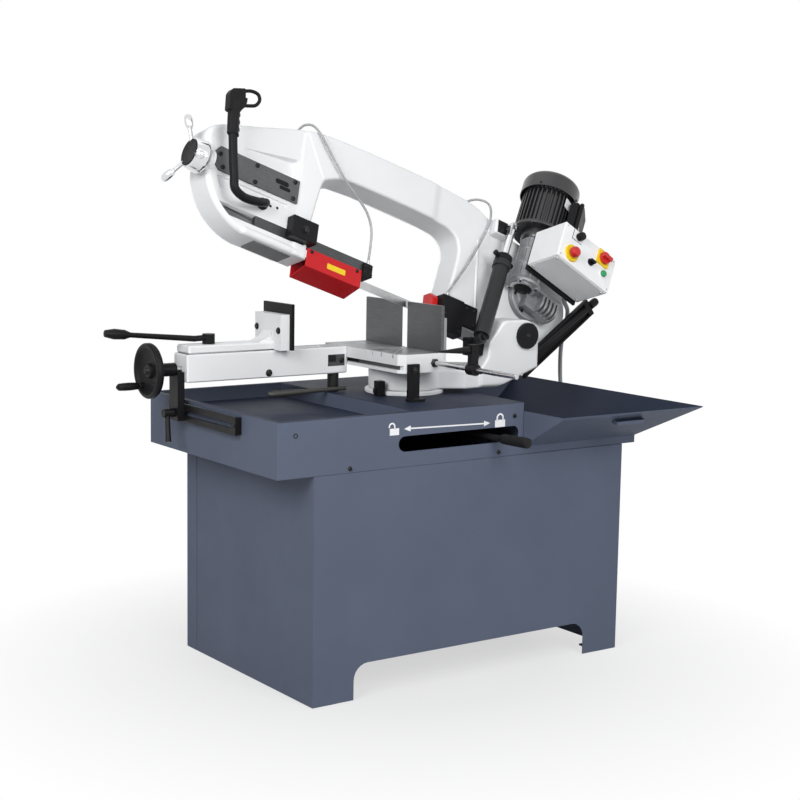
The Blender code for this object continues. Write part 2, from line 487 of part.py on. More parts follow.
def feed_cylinder():
    eye = 0.013
    z0, z1, x0 = EAR_Z + 0.003, CYL_FOOT.z - 0.003, CYL_FOOT.x - 0.009
    edge = [(EAR_X0 + EAR_LEAN * (z - EAR_Z) - 1.3 * GAP, z) for z in (z0, EAR_Z + 0.050)]
    shape = [(x0, z0)] + edge + [(edge[1][0], z1), (x0, z1)]
    ob = part("cylinder_bracket", slab(shape, "y", 0.270, 0.318), BLACK, ROOT)
    add(ob, rod(CYL_FOOT - 0.020 * CYL_AXIS, CYL_FOOT + 0.055 * CYL_AXIS, EYE_PIN, n=14))
    body = part("feed_cylinder", rod(CYL_FOOT + 0.012 * CYL_WAY, CYL_FOOT + CYL_LEN * CYL_WAY, CYL_R, n=24), DARK,
                ROOT, CYL_FOOT, metal=0.3)
    add(body, rod(CYL_FOOT - eye * CYL_AXIS, CYL_FOOT + eye * CYL_AXIS, EYE_R, n=18),
        rod(CYL_FOOT + 0.300 * CYL_WAY, CYL_FOOT + 0.325 * CYL_WAY, CYL_R + 0.004, n=24))
    cut(body, rod(CYL_FOOT - 0.03 * CYL_AXIS, CYL_FOOT + 0.03 * CYL_AXIS, EYE_PIN + GAP, n=14),
        rod(CYL_FOOT + 0.180 * CYL_WAY, CYL_FOOT + (CYL_LEN + 0.02) * CYL_WAY, ROD_R + GAP, n=16))
    piston = part("feed_rod", rod(CYL_FOOT + 0.280 * CYL_WAY, HEAD - 0.012 * CYL_WAY, ROD_R, n=16), STEEL, ROOT,
                  CYL_FOOT, metal=1.0, rough=0.15)
    add(piston, rod(HEAD - 0.034 * CYL_WAY, HEAD - 0.012 * CYL_WAY, 0.0145, n=6),
        rod(HEAD - 0.011 * CYL_AXIS, HEAD + 0.011 * CYL_AXIS, 0.019, n=18))
    cut(piston, rod(HEAD - 0.03 * CYL_AXIS, HEAD + 0.03 * CYL_AXIS, 0.009, n=14))


def spring_arm():
    """Channel on the ear's end that holds the counterweight spring, with its tension bolt."""
    x0, half, y0, y1 = EAR_X1 + GAP, 0.030, 0.307, 0.321
    a, b = Vector((x0, PZ - 0.120)), Vector((PX + 0.343, PZ + 0.081))
    way = (b - a).normalized()
    side = Vector((-way.y, way.x))
    shape = [(x0, a.y - 0.036), tuple(b - half * side), tuple(b + half * side), (x0, a.y + 0.036)]
    ob = part("spring_arm", slab(shape, "y", y0, y1), BLACK, ROOT)
    c, d = a + 0.04 * way, b - 0.02 * way
    inner = half - 0.006
    cut(ob, slab([tuple(c - inner * side), tuple(d - inner * side), tuple(d + inner * side),
                  tuple(c + inner * side)], "y", y0 - 0.01, y1 - 0.004))
    mid = (y0 + y1) / 2
    tip, foot = b + 0.040 * way, b - 0.006 * way
    add(ob, rod((foot.x, mid, foot.y), (tip.x, mid, tip.y), 0.0065))


# Bow, in its own frame: x to the idler end, y to the front, z across the beam
def bow_outline():
    pts = arc(IDLER_S, WHEEL_T + 0.003, 0.191, -95, 5, 12)
    pts += [(1.256, 0.245), (1.246, 0.276), (1.210, 0.302), (1.063, 0.354), (0.905, 0.407), (0.800, 0.424),
            (0.330, 0.437), (0.180, 0.426), (0.120, 0.404), (0.060, 0.380)]
    pts += arc(DRIVE_S, WHEEL_T, 0.194, 78, 270, 18)
    pts += [(0.187, -0.024), (0.187, 0.060), (0.262, 0.064), (0.238, 0.194), (0.234, 0.240), (0.247, 0.276),
            (0.280, 0.298), (0.340, 0.305), (0.640, 0.304), (0.740, 0.296), (0.792, 0.276), (0.812, 0.262),
            (0.838, 0.132), (0.845, 0.090), (0.845, -0.018)]
    return pts


def bow_frame():
    ob = part("bow_frame", slab(bow_outline(), "y", -BOW_W, BOW_W), WHITE, BOW, PIVOT_LOCAL, bevel=0.006)
    p = PIVOT_LOCAL
    add(ob, rod(p - (AY - TRUNNION_Y0) * BACK_LOCAL, p - (AY - TRUNNION_Y1) * BACK_LOCAL, TRUNNION_R, n=28),
        box(0.030, 0.110, BOW_W - 0.004, 0.083, 0.342, 0.396),
        rod((1.2268, TENSION_W, WHEEL_T), (1.254, TENSION_W, WHEEL_T), 0.029, n=20))
    deep = (-0.07, WALL_W)
    cut(ob, rod((IDLER_S, deep[0], WHEEL_T), (IDLER_S, deep[1], WHEEL_T), 0.180, n=36),
        rod((DRIVE_S, deep[0], WHEEL_T), (DRIVE_S, deep[1], WHEEL_T), 0.1825, n=36),
        slab([(-0.085, 0.322), (0.215, 0.322), (0.330, 0.316), (0.650, 0.315), (0.760, 0.306), (0.830, 0.290),
              (0.960, 0.322), (1.050, 0.322), (1.050, 0.349), (0.900, 0.397), (0.800, 0.413), (0.330, 0.426),
              (0.190, 0.415), (0.060, 0.365), (-0.085, 0.349)], "y", deep[0], BEAM_W),
        slab([(0.118, 0.075), (0.176, 0.072), (0.246, 0.076), (0.226, 0.190), (0.222, 0.245), (0.210, 0.280),
              (0.118, 0.280)], "y", deep[0], BEAM_W),
        box(0.80, IDLER_S, *deep, -0.0112, 0.026),
        box(DRIVE_S, 0.30, *deep, -0.0165, 0.034),
        box(0.930, 1.200, 0.01, 0.06, WHEEL_T - 0.0225, WHEEL_T + 0.0225),
        rod((1.19, TENSION_W, WHEEL_T), (1.30, TENSION_W, WHEEL_T), 0.007 + GAP, n=16),
        slab([(0.80, BAR_T0 - GAP), (1.150, BAR_T0 - GAP), (1.185, BAR_T1 + GAP), (0.80, BAR_T1 + GAP)], "y",
             BAR_W0 - GAP, 0.07),
        rod((DRIVE_S, 0.0, WHEEL_T), (DRIVE_S, 0.07, WHEEL_T), AXLE_R + 0.001, n=20),
        rod(p - (AY - TRUNNION_Y0 + 0.01) * BACK_LOCAL, p - (AY - TRUNNION_Y1 + 0.003) * BACK_LOCAL,
            PIN_R + GAP, n=28))


def rear_cover():
    ob = part("rear_cover", slab(bow_outline(), "y", -BOW_W - GAP - COVER, -BOW_W - GAP), WHITE, BOW, PIVOT_LOCAL,
              bevel=0.0015)
    cut(ob, box(0.80, 0.90, -0.08, 0.0, -0.05, 0.02), box(0.10, 0.30, -0.08, 0.0, -0.05, 0.078))


def band_wheel(name, s, shaft):
    flange, back = 0.0141, -0.009
    bore = AXLE_R + GAP if shaft is None else 0.0
    profile = [(bore, back - 0.004), (0.040, back - 0.004), (0.042, -0.002), (0.148, -0.002), (0.150, back),
               (WHEEL_R, back), (WHEEL_R, flange), (WHEEL_R + 0.004, flange), (WHEEL_R + 0.004, 0.018),
               (0.150, 0.018), (0.148, 0.009), (0.042, 0.009), (0.040, 0.018)]
    if shaft is None:
        profile.append((bore, 0.018))
    else:
        profile += [(AXLE_R, 0.018), (AXLE_R, shaft), (0, shaft)]
    ob = part(name, lathe(profile, along((s, 0, WHEEL_T), (0, 1, 0)), 26), DARK, BOW, (s, 0, WHEEL_T), metal=0.6)
    for i in range(5):
        a = 2 * math.pi * i / 5
        x, z = s + 0.095 * math.cos(a), WHEEL_T + 0.095 * math.sin(a)
        cut(ob, rod((x, -0.05, z), (x, 0.05, z), 0.030, n=10))


def saw_blade():
    rb, half = WHEEL_R + GAP + BLADE_T / 2, BLADE_W / 2
    twist = math.pi / 2 - BETA
    ring = []

    def station(s, t, out, psi=0.0):
        across = Vector((0, -math.cos(psi), -math.sin(psi)))
        thick = Vector((out[0], 0, out[1]))
        if psi:
            thick = Vector((0, math.sin(psi), -math.cos(psi)))
        mid = Vector((s, 0, t))
        ring.append([mid + a * half * across + b * BLADE_T / 2 * thick
                     for a, b in ((1, 1), (1, -1), (-1, -1), (-1, 1))])

    for a in range(-90, 91, 6):
        c, d = math.cos(math.radians(a)), math.sin(math.radians(a))
        station(IDLER_S + rb * c, WHEEL_T + rb * d, (c, d))
    for a in range(90, 271, 6):
        c, d = math.cos(math.radians(a)), math.sin(math.radians(a))
        station(DRIVE_S + rb * c, WHEEL_T + rb * d, (c, d))

    def turned(u):
        return twist * u * u * (3 - 2 * u)

    low = WHEEL_T - rb
    for i in range(1, 13):
        u = i / 12
        station(-0.050 + 0.220 * u, low, (0, -1), turned(u))
    for i in range(13):
        u = i / 12
        station(0.700 + 0.280 * u, low, (0, -1), turned(1 - u))
    bm = bmesh.new()
    rows = [[bm.verts.new(p) for p in r] for r in ring]
    for i, row in enumerate(rows):
        before = rows[i - 1]
        for k in range(4):
            bm.faces.new((before[k - 1], before[k], row[k], row[k - 1]))
    bmesh.ops.triangulate(bm, faces=bm.faces)
    bmesh.ops.recalc_face_normals(bm, faces=bm.faces)
    part("saw_blade", bm, STEEL, BOW, PIVOT_LOCAL, metal=1.0, rough=0.3)


def tension():
    y0, y1 = WALL_W + 0.0005, BOW_W - 0.0005
    ob = part("tension_carriage", box(0.985, 1.115, y0, y1, WHEEL_T - 0.022, WHEEL_T + 0.022), STEEL, BOW,
              (IDLER_S, 0, WHEEL_T), metal=0.8)
    add(ob, rod((IDLER_S, y0 + 0.004, WHEEL_T), (IDLER_S, -0.018, WHEEL_T), AXLE_R, n=20),
        rod((IDLER_S, WALL_W - 0.0005, WHEEL_T), (IDLER_S, 0.0185, WHEEL_T), 0.030, n=20))
    plate = [(0.907, 0.146), (1.200, 0.146), (1.226, 0.172), (1.226, 0.198), (1.206, 0.224), (0.907, 0.224)]
    part("tension_plate", slab(plate, "y", BOW_W + GAP, BOW_W + 0.008), DARK, BOW, PIVOT_LOCAL, metal=0.5)
    hub = [(0, 0), (0.026, 0), (0.038, 0.005), (0.046, 0.016), (0.048, 0.024), (0.048, 0.042), (0.045, 0.046), (0, 0.046)]
    ob = part("tension_hub", lathe(hub, along((1.2543, TENSION_W, WHEEL_T), (1, 0, 0)), 20), STEEL, BOW,
              (1.2543, TENSION_W, WHEEL_T), metal=1.0, rough=0.12)
    add(ob, rod((1.262, TENSION_W, WHEEL_T), (1.1155, TENSION_W, WHEEL_T), 0.007, n=12))
    for deg in (5, 125, 245):
        a = math.radians(deg)
        way = Vector((0.30, -math.sin(a), math.cos(a))).normalized()
        root = Vector((1.284, TENSION_W, WHEEL_T))
        add(ob, rod(root, root + 0.085 * way, 0.0065, n=10),
            lathe([(0, 0), (0.006, 0), (0.0125, 0.014), (0.0125, 0.040), (0.010, 0.046), (0, 0.046)],
                  along(root + 0.080 * way, way), 10))


def blade_guides():
    part("guide_bar", box(BAR_S0, BAR_S1, BAR_W0, BAR_W1, BAR_T0, BAR_T1), DARK, BOW, (BAR_S0, BAR_W0, BAR_T0),
         metal=0.5)
    slit_w, gap = 0.0010, 0.0136

    def slit(s0, s1):
        side = Vector((0, math.cos(BETA), -math.sin(BETA)))
        bm = box(s0 - 0.01, s1 + 0.01, -slit_w, slit_w, -0.05, gap)
        turn = Matrix((Vector((1, 0, 0)), side, UP_LOCAL)).transposed().to_4x4()
        bmesh.ops.transform(bm, matrix=turn, verts=bm.verts)
        return bm

    s0, s1 = BAR_S0 + 0.003, BAR_S0 + 0.040
    ob = part("moving_guide", box(s0, s1, -0.030, 0.056, 0.008, BAR_T0 - GAP), BLACK, BOW, (s0, 0, BAR_T0))
    add(ob, box(s0 + 0.001, s1 - 0.001, BAR_W1 + GAP, 0.0555, 0.012, GUIDE_TOP))
    cut(ob, slit(s0, s1))
    g0, g1 = s1 + GAP, 0.8445
    t = 0.0025
    shape = [(0.050, 0.022), (0.050, -0.038), (-0.030, -0.057), (-0.030, 0.010), (-0.030 + t, 0.010),
             (-0.030 + t, -0.0535), (0.050 - t, -0.0355), (0.050 - t, 0.022)]
    part("blade_guard", slab(shape, "x", g0, g1), RED, BOW, (g0, 0, BAR_T0))
    c0, c1 = 0.833, 0.930
    ob = part("guide_clamp", box(c0, c1, BOW_W + GAP, 0.082, 0.026, 0.096), BLACK, BOW, PIVOT_LOCAL, bevel=0.002)
    f0, f1 = 0.1875 + 0.0005, 0.287
    shape = [(f0, 0.008), (f1, 0.008), (f1, 0.0595), (f0 + 0.010, 0.0595), (f0, 0.0495)]
    ob = part("fixed_guide", slab(shape, "y", -0.020, 0.058), BLACK, BOW, PIVOT_LOCAL)
    add(ob, box(f0 + 0.007, f1 - 0.002, 0.0175, 0.0575, -0.066, 0.010),
        box(0.135, f0 + 0.020, BOW_W + GAP, 0.0570, -0.022, 0.056))
    cut(ob, slit(f0, f1))
    part("fixed_guard", slab([(-0.016, 0.0150), (0.030, 0.0150), (0.030, 0.050), (0.018, 0.062), (-0.016, 0.062)], "x",
                             f1 + GAP, f1 + 0.028), RED, BOW, PIVOT_LOCAL)


def handle():
    path = smooth_path([(1.030, BOW_W + 0.006, 0.100), (1.030, 0.068, 0.098), (1.066, 0.090, 0.080),
                        (1.135, 0.106, 0.066), (1.172, 0.112, 0.078), (1.182, 0.113, 0.115),
                        (1.196, 0.113, 0.180), (1.208, 0.113, 0.243)], 2)
    ob = part("bow_handle", tube(path, 0.0135), BLACK, BOW, PIVOT_LOCAL)
    add(ob, rod((1.030, BOW_W + GAP, 0.100), (1.030, BOW_W + 0.009, 0.100), 0.019))
    top, half = Vector((1.2075, 0.113, 0.238)), 0.0125
    grip = [(0, 0), (0.019, 0), (0.021, 0.010), (0.018, 0.016), (0.020, 0.05), (0.0185, 0.080), (0.0175, 0.105),
            (0, 0.110)]
    way = Vector((0.113, 0, 1)).normalized()
    add(ob, lathe(grip, along(top, way), 14))
    base = top + 0.118 * way
    head = [(0.020, -0.050), (0.025, 0.004), (0.017, 0.021), (-0.027, 0.039), (-0.036, -0.020), (-0.024, -0.036),
            (-0.018, -0.050)]
    add(ob, slab([(base.x + u, base.z + v) for u, v in head], "y", base.y - half, base.y + half))
    loop = [base + Vector((u, 0, v)) for u, v in ((-0.020, 0.030), (-0.056, 0.046), (-0.080, 0.045), (-0.088, 0.030),
                                                  (-0.078, 0.008), (-0.056, -0.004), (-0.028, -0.014))]
    add(ob, tube(smooth_path(loop, 3), 0.0055, 2))
    t0, wide, tall = base + Vector((-0.0310, 0, 0.010)), 0.006, 0.009
    fit = wide + GAP, tall + GAP
    cut(ob, box(t0.x - 0.006, t0.x + TRIGGER_IN + TRIGGER_PULL + GAP, t0.y - fit[0], t0.y + fit[0], t0.z - fit[1],
                t0.z + fit[1]))
    part("trigger", box(t0.x - 0.011, t0.x + TRIGGER_IN, t0.y - wide, t0.y + wide, t0.z - tall, t0.z + tall), BLACK,
         BOW, t0)


# Drive: gearbox, motor and control box, in the gear frame: x along the box, y back, z along the motor
def gearbox():
    wheel = GEAR_M.inverted() @ Vector((DRIVE_S, 0, WHEEL_T))
    cx, cz, back = wheel.x, wheel.z, -BOW_W - GAP
    ob = part("gearbox", rod((cx, back, cz), (cx, -0.138, cz), 0.082, n=28), ALLOY, GEAR, (cx, 0, cz), metal=0.9)
    end = WORM_LEN - GAP
    add(ob, rod((0, WORM_Y, 0.004), (0, WORM_Y, end - 0.004), WORM_R, n=24),
        rod((0, WORM_Y, 0), (0, WORM_Y, 0.013), 0.058, n=24),
        rod((0, WORM_Y, end - 0.012), (0, WORM_Y, end), WORM_FLANGE, n=24),
        rod((cx, -0.130, cz), (cx, -0.150, cz), 0.060, n=24),
        box(0.060, 0.156, -0.130, -0.062, -0.046, 0.030),
        rod((0, WORM_Y, 0.002), (0, WORM_Y, -0.006), 0.032, n=20))
    for i in range(4):
        x = 0.086 + 0.018 * i
        cut(ob, box(x, x + 0.009, -0.16, -0.100, -0.060, 0.012))
    cut(ob, rod((cx, -0.02, cz), (cx, -0.081, cz), AXLE_R + GAP, n=20))
    return ob


def motor():
    z0, z1 = WORM_LEN, WORM_LEN + MOTOR_LEN
    fins = []
    n = 18
    for i in range(n):
        for k, r in ((0.0, MOTOR_R), (0.30, MOTOR_R), (0.38, MOTOR_R - 0.012), (0.92, MOTOR_R - 0.012)):
            a = 2 * math.pi * (i + k) / n
            fins.append((r * math.cos(a), WORM_Y + r * math.sin(a)))
    ob = part("motor", slab(fins, "z", z0 + 0.010, z1 - 0.010), BLACK, GEAR, (0, WORM_Y, z0))
    add(ob, rod((0, WORM_Y, z0), (0, WORM_Y, z0 + 0.014), MOTOR_R + 0.003, n=28),
        rod((0, WORM_Y, z1 - 0.014), (0, WORM_Y, z1), MOTOR_R - 0.003, n=24))
    r, lip, wall, end, sides = COWL_R, 0.018, 0.003, COWL_LEN, 26
    grip = (MOTOR_R - 0.003) / math.cos(math.pi / sides) + GAP
    inner = [(0, end - wall), (r - 0.024, end - wall), (r - 0.009, end - 0.010), (r - wall, end - 0.023),
             (r - wall, -0.006), (grip, -0.006), (grip, -0.009), (r - wall, -0.009)]
    outer = [(r - wall, -lip), (r, -lip), (r, end - 0.022), (r - 0.006, end - 0.008), (r - 0.022, end), (0, end)]
    part("fan_cowl", lathe(inner + outer, Matrix.Translation((0, WORM_Y, z1 + GAP)), sides), BLACK, GEAR,
         (0, WORM_Y, z1))
    a = math.radians(-50)
    case = box(MOTOR_R + GAP, MOTOR_R + 0.048, -0.052, 0.052, z0 + 0.022, z1 - 0.035)
    bmesh.ops.transform(case, matrix=Matrix.Translation((0, WORM_Y, 0)) @ Matrix.Rotation(a, 4, "Z"),
                        verts=case.verts)
    part("terminal_box", case, BLACK, GEAR, (0, WORM_Y, z0), bevel=0.010)


def control_box():
    t = SHEET
    ob = part("control_box", box(BOX_X0, BOX_X1, BOX_Y0, BOX_Y1, BOX_Z0, BOX_Z1), WHITE, GEAR, (0, 0, 0), bevel=0.003)
    cut(ob, box(BOX_X0 + t, BOX_X1 - t, BOX_Y0 + t, BOX_Y1 + t, BOX_Z0 + t, BOX_Z1 - t))
    plate = part("box_plate", box(BOX_X0 + 0.006, BOX_X1 - 0.006, BOX_Y1 + GAP, PLATE_Y, BOX_Z0 - 0.012,
                                  BOX_Z1 - 0.010), BLACK, GEAR)
    add(plate, rod((CONDUIT_X, PLATE_Y - 0.002, CONDUIT_Z), (CONDUIT_X, GLAND_Y, CONDUIT_Z), CONDUIT_R + 0.003))
    face = BOX_Y0
    wells = ((-0.002, 0.082, 0.0113), (0.135, 0.148, 0.0083), (0.0845, 0.1006, 0.0083), (0.151, 0.096, 0.0093),
             (0.010, 0.155, 0.0053))
    for x, z, r in wells:
        cut(ob, rod((x, face - 0.01, z), (x, face + 2 * t, z), r, n=16))

    def button(name, i, profile, colour):
        x, z, r = wells[i]
        made = lathe([(0, -0.018), (r - GAP, -0.018)] + [(r - GAP, profile[0][1])] + profile,
                     along((x, face, z), (0, -1, 0)), 16)
        return part(name, made, colour, GEAR, (x, face, z), rough=0.35)

    button("estop", 0, [(0.0185, 0.012), (0.0195, 0.020), (0.015, 0.030), (0, 0.032)], RED)
    ob = button("main_switch", 1, [(0.0215, 0.008), (0.0225, 0.012), (0.0205, 0.018), (0, 0.018)], RED)
    x, z, r = wells[1]
    add(ob, box(x - 0.020, x + 0.020, face - 0.030, face - 0.016, z - 0.0065, z + 0.0065))
    ob = button("selector", 2, [(0.0125, 0.003), (0.0125, 0.010), (0, 0.010)], BLACK)
    x, z, r = wells[2]
    add(ob, box(x - 0.011, x + 0.011, face - 0.022, face - 0.008, z - 0.004, z + 0.004))
    button("start_button", 3, [(0.0115, 0.004), (0.0115, 0.009), (0.010, 0.011), (0, 0.011)], GREEN)
    button("feed_knob", 4, [(0.014, 0.003), (0.015, 0.010), (0.013, 0.024), (0, 0.025)], BLACK)


# Hoses
def hoses():
    left = smooth_path([(0.906, -0.005, 0.4085), (0.904, 0.000, 0.424), (0.896, 0.017, 0.4375), (0.882, 0.041, 0.435),
                        (0.864, 0.059, 0.412), (0.838, 0.065, 0.380), (0.790, 0.066, 0.330), (0.735, 0.066, 0.280),
                        (0.680, 0.066, 0.242), (0.641, 0.065, 0.208), (0.617, 0.062, 0.163), (0.608, 0.055, 0.105),
                        (0.6070, 0.0507, GUIDE_TOP + GAP)], 2)
    part("left_hose", tube(left, 0.004, 2), HOSE, BOW, PIVOT_LOCAL, rough=0.3)
    right = smooth_path([(0.190, -0.010, 0.4275), (0.187, -0.004, 0.448), (0.165, 0.030, 0.458), (0.135, 0.056, 0.448),
                         (0.121, 0.062, 0.415), (0.131, 0.062, 0.350), (0.191, 0.062, 0.215), (0.246, 0.055, 0.110),
                         (0.262, 0.048, 0.0755), (0.264, 0.047, 0.0598)], 2)
    part("right_hose", tube(right, 0.004, 2), HOSE, BOW, PIVOT_LOCAL, rough=0.3)
    leave = BOW_M @ GEAR_M @ Matrix.Translation((CONDUIT_X, GLAND_Y + GAP, CONDUIT_Z))
    start, clear = leave.translation, leave @ Vector((0, 0.012, 0))
    wall = Vector((CAB_W + GAP, 0.560, 0.560))
    path = [start] + smooth_path([clear, (1.265, 0.370, 1.138), (1.301, 0.398, 1.110), (1.330, 0.436, 1.070),
                                  (1.350, 0.476, 1.015), (1.370, 0.508, 0.950), (1.392, 0.533, 0.880),
                                  (1.410, 0.549, 0.807), (1.411, 0.557, 0.733), (1.384, 0.561, 0.655),
                                  (1.325, 0.5605, 0.590), (1.262, 0.560, 0.563), (CAB_W + 0.012, 0.560, 0.560)],
                                 3) + [wall]
    part("conduit", tube(path, CONDUIT_R, 2), (0.30, 0.31, 0.32), ROOT)


for make in (cabinet, tray, chip_pan, coolant_unit, slot_plate, turntable, work_table, fence, table_bracket,
             mitre_lever, length_stop, vise, swivel_arm, pivot_pin, feed_cylinder, spring_arm, bow_frame, rear_cover,
             saw_blade, tension, blade_guides, handle, gearbox, motor, control_box, hoses):
    make()
band_wheel("idler_wheel", IDLER_S, None)
band_wheel("drive_wheel", DRIVE_S, 0.080)
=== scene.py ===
import json
from math import cos, pi, radians, sin

import bmesh
import bpy
from mathutils import Matrix, Vector, geometry

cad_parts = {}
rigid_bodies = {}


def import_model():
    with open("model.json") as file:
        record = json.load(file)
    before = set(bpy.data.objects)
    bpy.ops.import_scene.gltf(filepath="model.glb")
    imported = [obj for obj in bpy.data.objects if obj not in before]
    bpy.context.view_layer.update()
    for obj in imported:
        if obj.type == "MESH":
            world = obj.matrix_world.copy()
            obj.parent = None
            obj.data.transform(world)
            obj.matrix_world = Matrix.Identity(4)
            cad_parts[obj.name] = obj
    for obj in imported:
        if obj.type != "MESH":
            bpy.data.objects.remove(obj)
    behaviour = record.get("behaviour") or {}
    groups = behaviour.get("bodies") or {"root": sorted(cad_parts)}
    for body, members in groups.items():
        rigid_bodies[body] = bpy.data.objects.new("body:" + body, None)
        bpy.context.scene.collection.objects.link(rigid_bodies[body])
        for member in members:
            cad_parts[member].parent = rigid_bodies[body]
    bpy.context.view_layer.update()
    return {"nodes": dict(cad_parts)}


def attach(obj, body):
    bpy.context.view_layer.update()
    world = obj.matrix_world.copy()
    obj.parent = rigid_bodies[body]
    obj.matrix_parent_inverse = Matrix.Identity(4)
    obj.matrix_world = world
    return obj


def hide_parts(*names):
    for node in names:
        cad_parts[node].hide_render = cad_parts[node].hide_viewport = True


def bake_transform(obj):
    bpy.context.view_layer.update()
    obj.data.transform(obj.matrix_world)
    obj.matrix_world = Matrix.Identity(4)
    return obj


for spare in list(bpy.data.objects):
    bpy.data.objects.remove(spare, do_unlink=True)
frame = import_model()
TO_X, TO_Y, TO_Z = (1, 0, 0), (0, 1, 0), (0, 0, 1)
FROM_X, FROM_Y, FROM_Z = (-1, 0, 0), (0, -1, 0), (0, 0, -1)


# Studio: a pale floor that fades into a white room, three soft lamps and the camera.
# The camera stands in front of the saw's left end, a little above the table.
scene = bpy.context.scene
scene.view_settings.view_transform = "Standard"


def feed(made, inputs):
    """Sets a node's inputs: a socket is linked, anything else is written on the input."""
    for name, value in inputs.items():
        if isinstance(value, bpy.types.NodeSocket):
            made.id_data.links.new(value, made.inputs[name])
        else:
            made.inputs[name].default_value = value
    return made


def node(tree, kind, inputs=None, **settings):
    """A new node with its settings and inputs."""
    made = tree.nodes.new(kind if "Node" in kind else "ShaderNode" + kind)
    for name, value in settings.items():
        setattr(made, name, value)
    return feed(made, inputs or {})


def seen_rays(tree):
    """1 for the rays that show the room itself, straight or in metal and glass, and 0 for its light."""
    path = node(tree, "LightPath")
    total = path.outputs["Is Camera Ray"]
    for ray in ("Is Glossy Ray", "Is Transmission Ray"):
        total = node(tree, "Math", {0: total, 1: path.outputs[ray]}, operation="MAXIMUM").outputs[0]
    return total


def blank(name):
    """A new material with its tree and its shader."""
    made = bpy.data.materials.new(name)
    made.use_nodes = True
    return made, made.node_tree, made.node_tree.nodes["Principled BSDF"]


world = bpy.data.worlds.new("white_room")
world.use_nodes = True
scene.world = world
room = world.node_tree
sky = feed(room.nodes["Background"], {"Color": (0.93, 0.95, 1.0, 1), "Strength": 0.25})
seen = node(room, "Background", {"Color": (1, 1, 1, 1)})
swap = node(room, "MixShader", {0: seen_rays(room), 1: sky.outputs[0], 2: seen.outputs[0]})
feed(room.nodes["World Output"], {"Surface": swap.outputs[0]})

bpy.ops.mesh.primitive_plane_add(size=60, location=(0, 0, -0.0005))
floor = bpy.context.object
floor.name = "studio_floor"
pale, tree, shader = blank("pale_floor")
feed(shader, {"Base Color": (0.62, 0.62, 0.62, 1), "Roughness": 0.9})
glow = node(tree, "Emission", {"Strength": 1.0})
reach = node(tree, "VectorMath", {0: node(tree, "TexCoord").outputs["Object"]}, operation="LENGTH")
fade = node(tree, "MapRange", {"Value": reach.outputs["Value"], "From Min": 0.5, "From Max": 1.5,
    "To Min": 0.62})
shown = node(tree, "Math", {0: fade.outputs["Result"], 1: seen_rays(tree)}, operation="MULTIPLY")
swap = node(tree, "MixShader", {0: shown.outputs[0], 1: shader.outputs[0], 2: glow.outputs[0]})
feed(tree.nodes["Material Output"], {"Surface": swap.outputs[0]})
floor.data.materials.append(pale)


LAMP_AIM = Vector((0, 0, 0.9))
PHOTO_SIDE, PHOTO_FOCUS, SENSOR = 800, 1664.5, 36.0


def soft_lamp(name, at, size, watts):
    lamp = bpy.data.lights.new(name, "AREA")
    lamp.size, lamp.energy = size, watts
    ob = bpy.data.objects.new(name, lamp)
    scene.collection.objects.link(ob)
    ob.location = at
    ob.rotation_euler = (LAMP_AIM - Vector(at)).to_track_quat("-Z", "Y").to_euler()


soft_lamp("left_softbox", (-4.5, -2.2, 3.5), 2.6, 182)
soft_lamp("front_softbox", (-0.2, -5.2, 3.5), 2.8, 184)
soft_lamp("top_softbox", (0.2, 0.6, 4.6), 3.0, 9)

lens = bpy.data.cameras.new("photo_view")
lens.sensor_width, lens.lens = SENSOR, SENSOR * PHOTO_FOCUS / PHOTO_SIDE
camera = bpy.data.objects.new("photo_view", lens)
scene.collection.objects.link(camera)
yaw, pitch, roll = (radians(a) for a in (-35.402, 7.824, 0.957))
look = -Vector((sin(yaw) * cos(pitch), -cos(yaw) * cos(pitch), sin(pitch)))
side = look.cross(TO_Z).normalized()
above = side.cross(look)
turned_side = cos(roll) * side + sin(roll) * above
turned_up = cos(roll) * above - sin(roll) * side
camera.matrix_world = Matrix((turned_side, turned_up, -look)).transposed().to_4x4()
camera.location = (-3.0615, -4.3255, 1.587)
scene.camera = camera


# Cabinet: a folded steel box on four corner feet, powder coated in slate blue-grey.
# Its sheets are bent at the corners and spot welded inside, so only soft folds show.
def new_group(name, kind, inputs, outputs, sort="Float"):
    """A node group with its sockets, and its input and output nodes."""
    group = bpy.data.node_groups.new(name, kind)
    for way, labels in (("INPUT", inputs), ("OUTPUT", outputs)):
        for label in labels:
            group.interface.new_socket(label, in_out=way, socket_type="NodeSocket" + sort)
    return group, group.nodes.new("NodeGroupInput"), group.nodes.new("NodeGroupOutput")


# Skin: the broad mottle and fine grain of a coated, cast or moulded surface.
SKIN, get, put = new_group("skin", "ShaderNodeTree", ("Mottle Scale", "Grain Scale"), ("Mottle", "Grain"))
where = node(SKIN, "TexCoord").outputs["Object"]
for name, detail in (("Mottle", 4), ("Grain", 2)):
    noise = node(SKIN, "TexNoise", {"Vector": where, "Scale": get.outputs[name + " Scale"],
        "Detail": detail, "Roughness": 0.6})
    even = node(SKIN, "MapRange", {"Value": noise.outputs["Fac"], "From Min": 0.3, "From Max": 0.7})
    feed(put, {name: even.outputs["Result"]})
GLOSS_SPREAD = 0.06


def tinted(tree, share, colour, swing):
    """A colour that swings about its mean."""
    low, high = ((*(min(c * (1 + way * swing), 1) for c in colour), 1) for way in (-1, 1))
    return node(tree, "Mix", {0: share, 6: low, 7: high}, data_type="RGBA").outputs[2]


def bumped(tree, height, strength, distance):
    return node(tree, "Bump", {"Height": height, "Strength": strength,
        "Distance": distance}).outputs["Normal"]


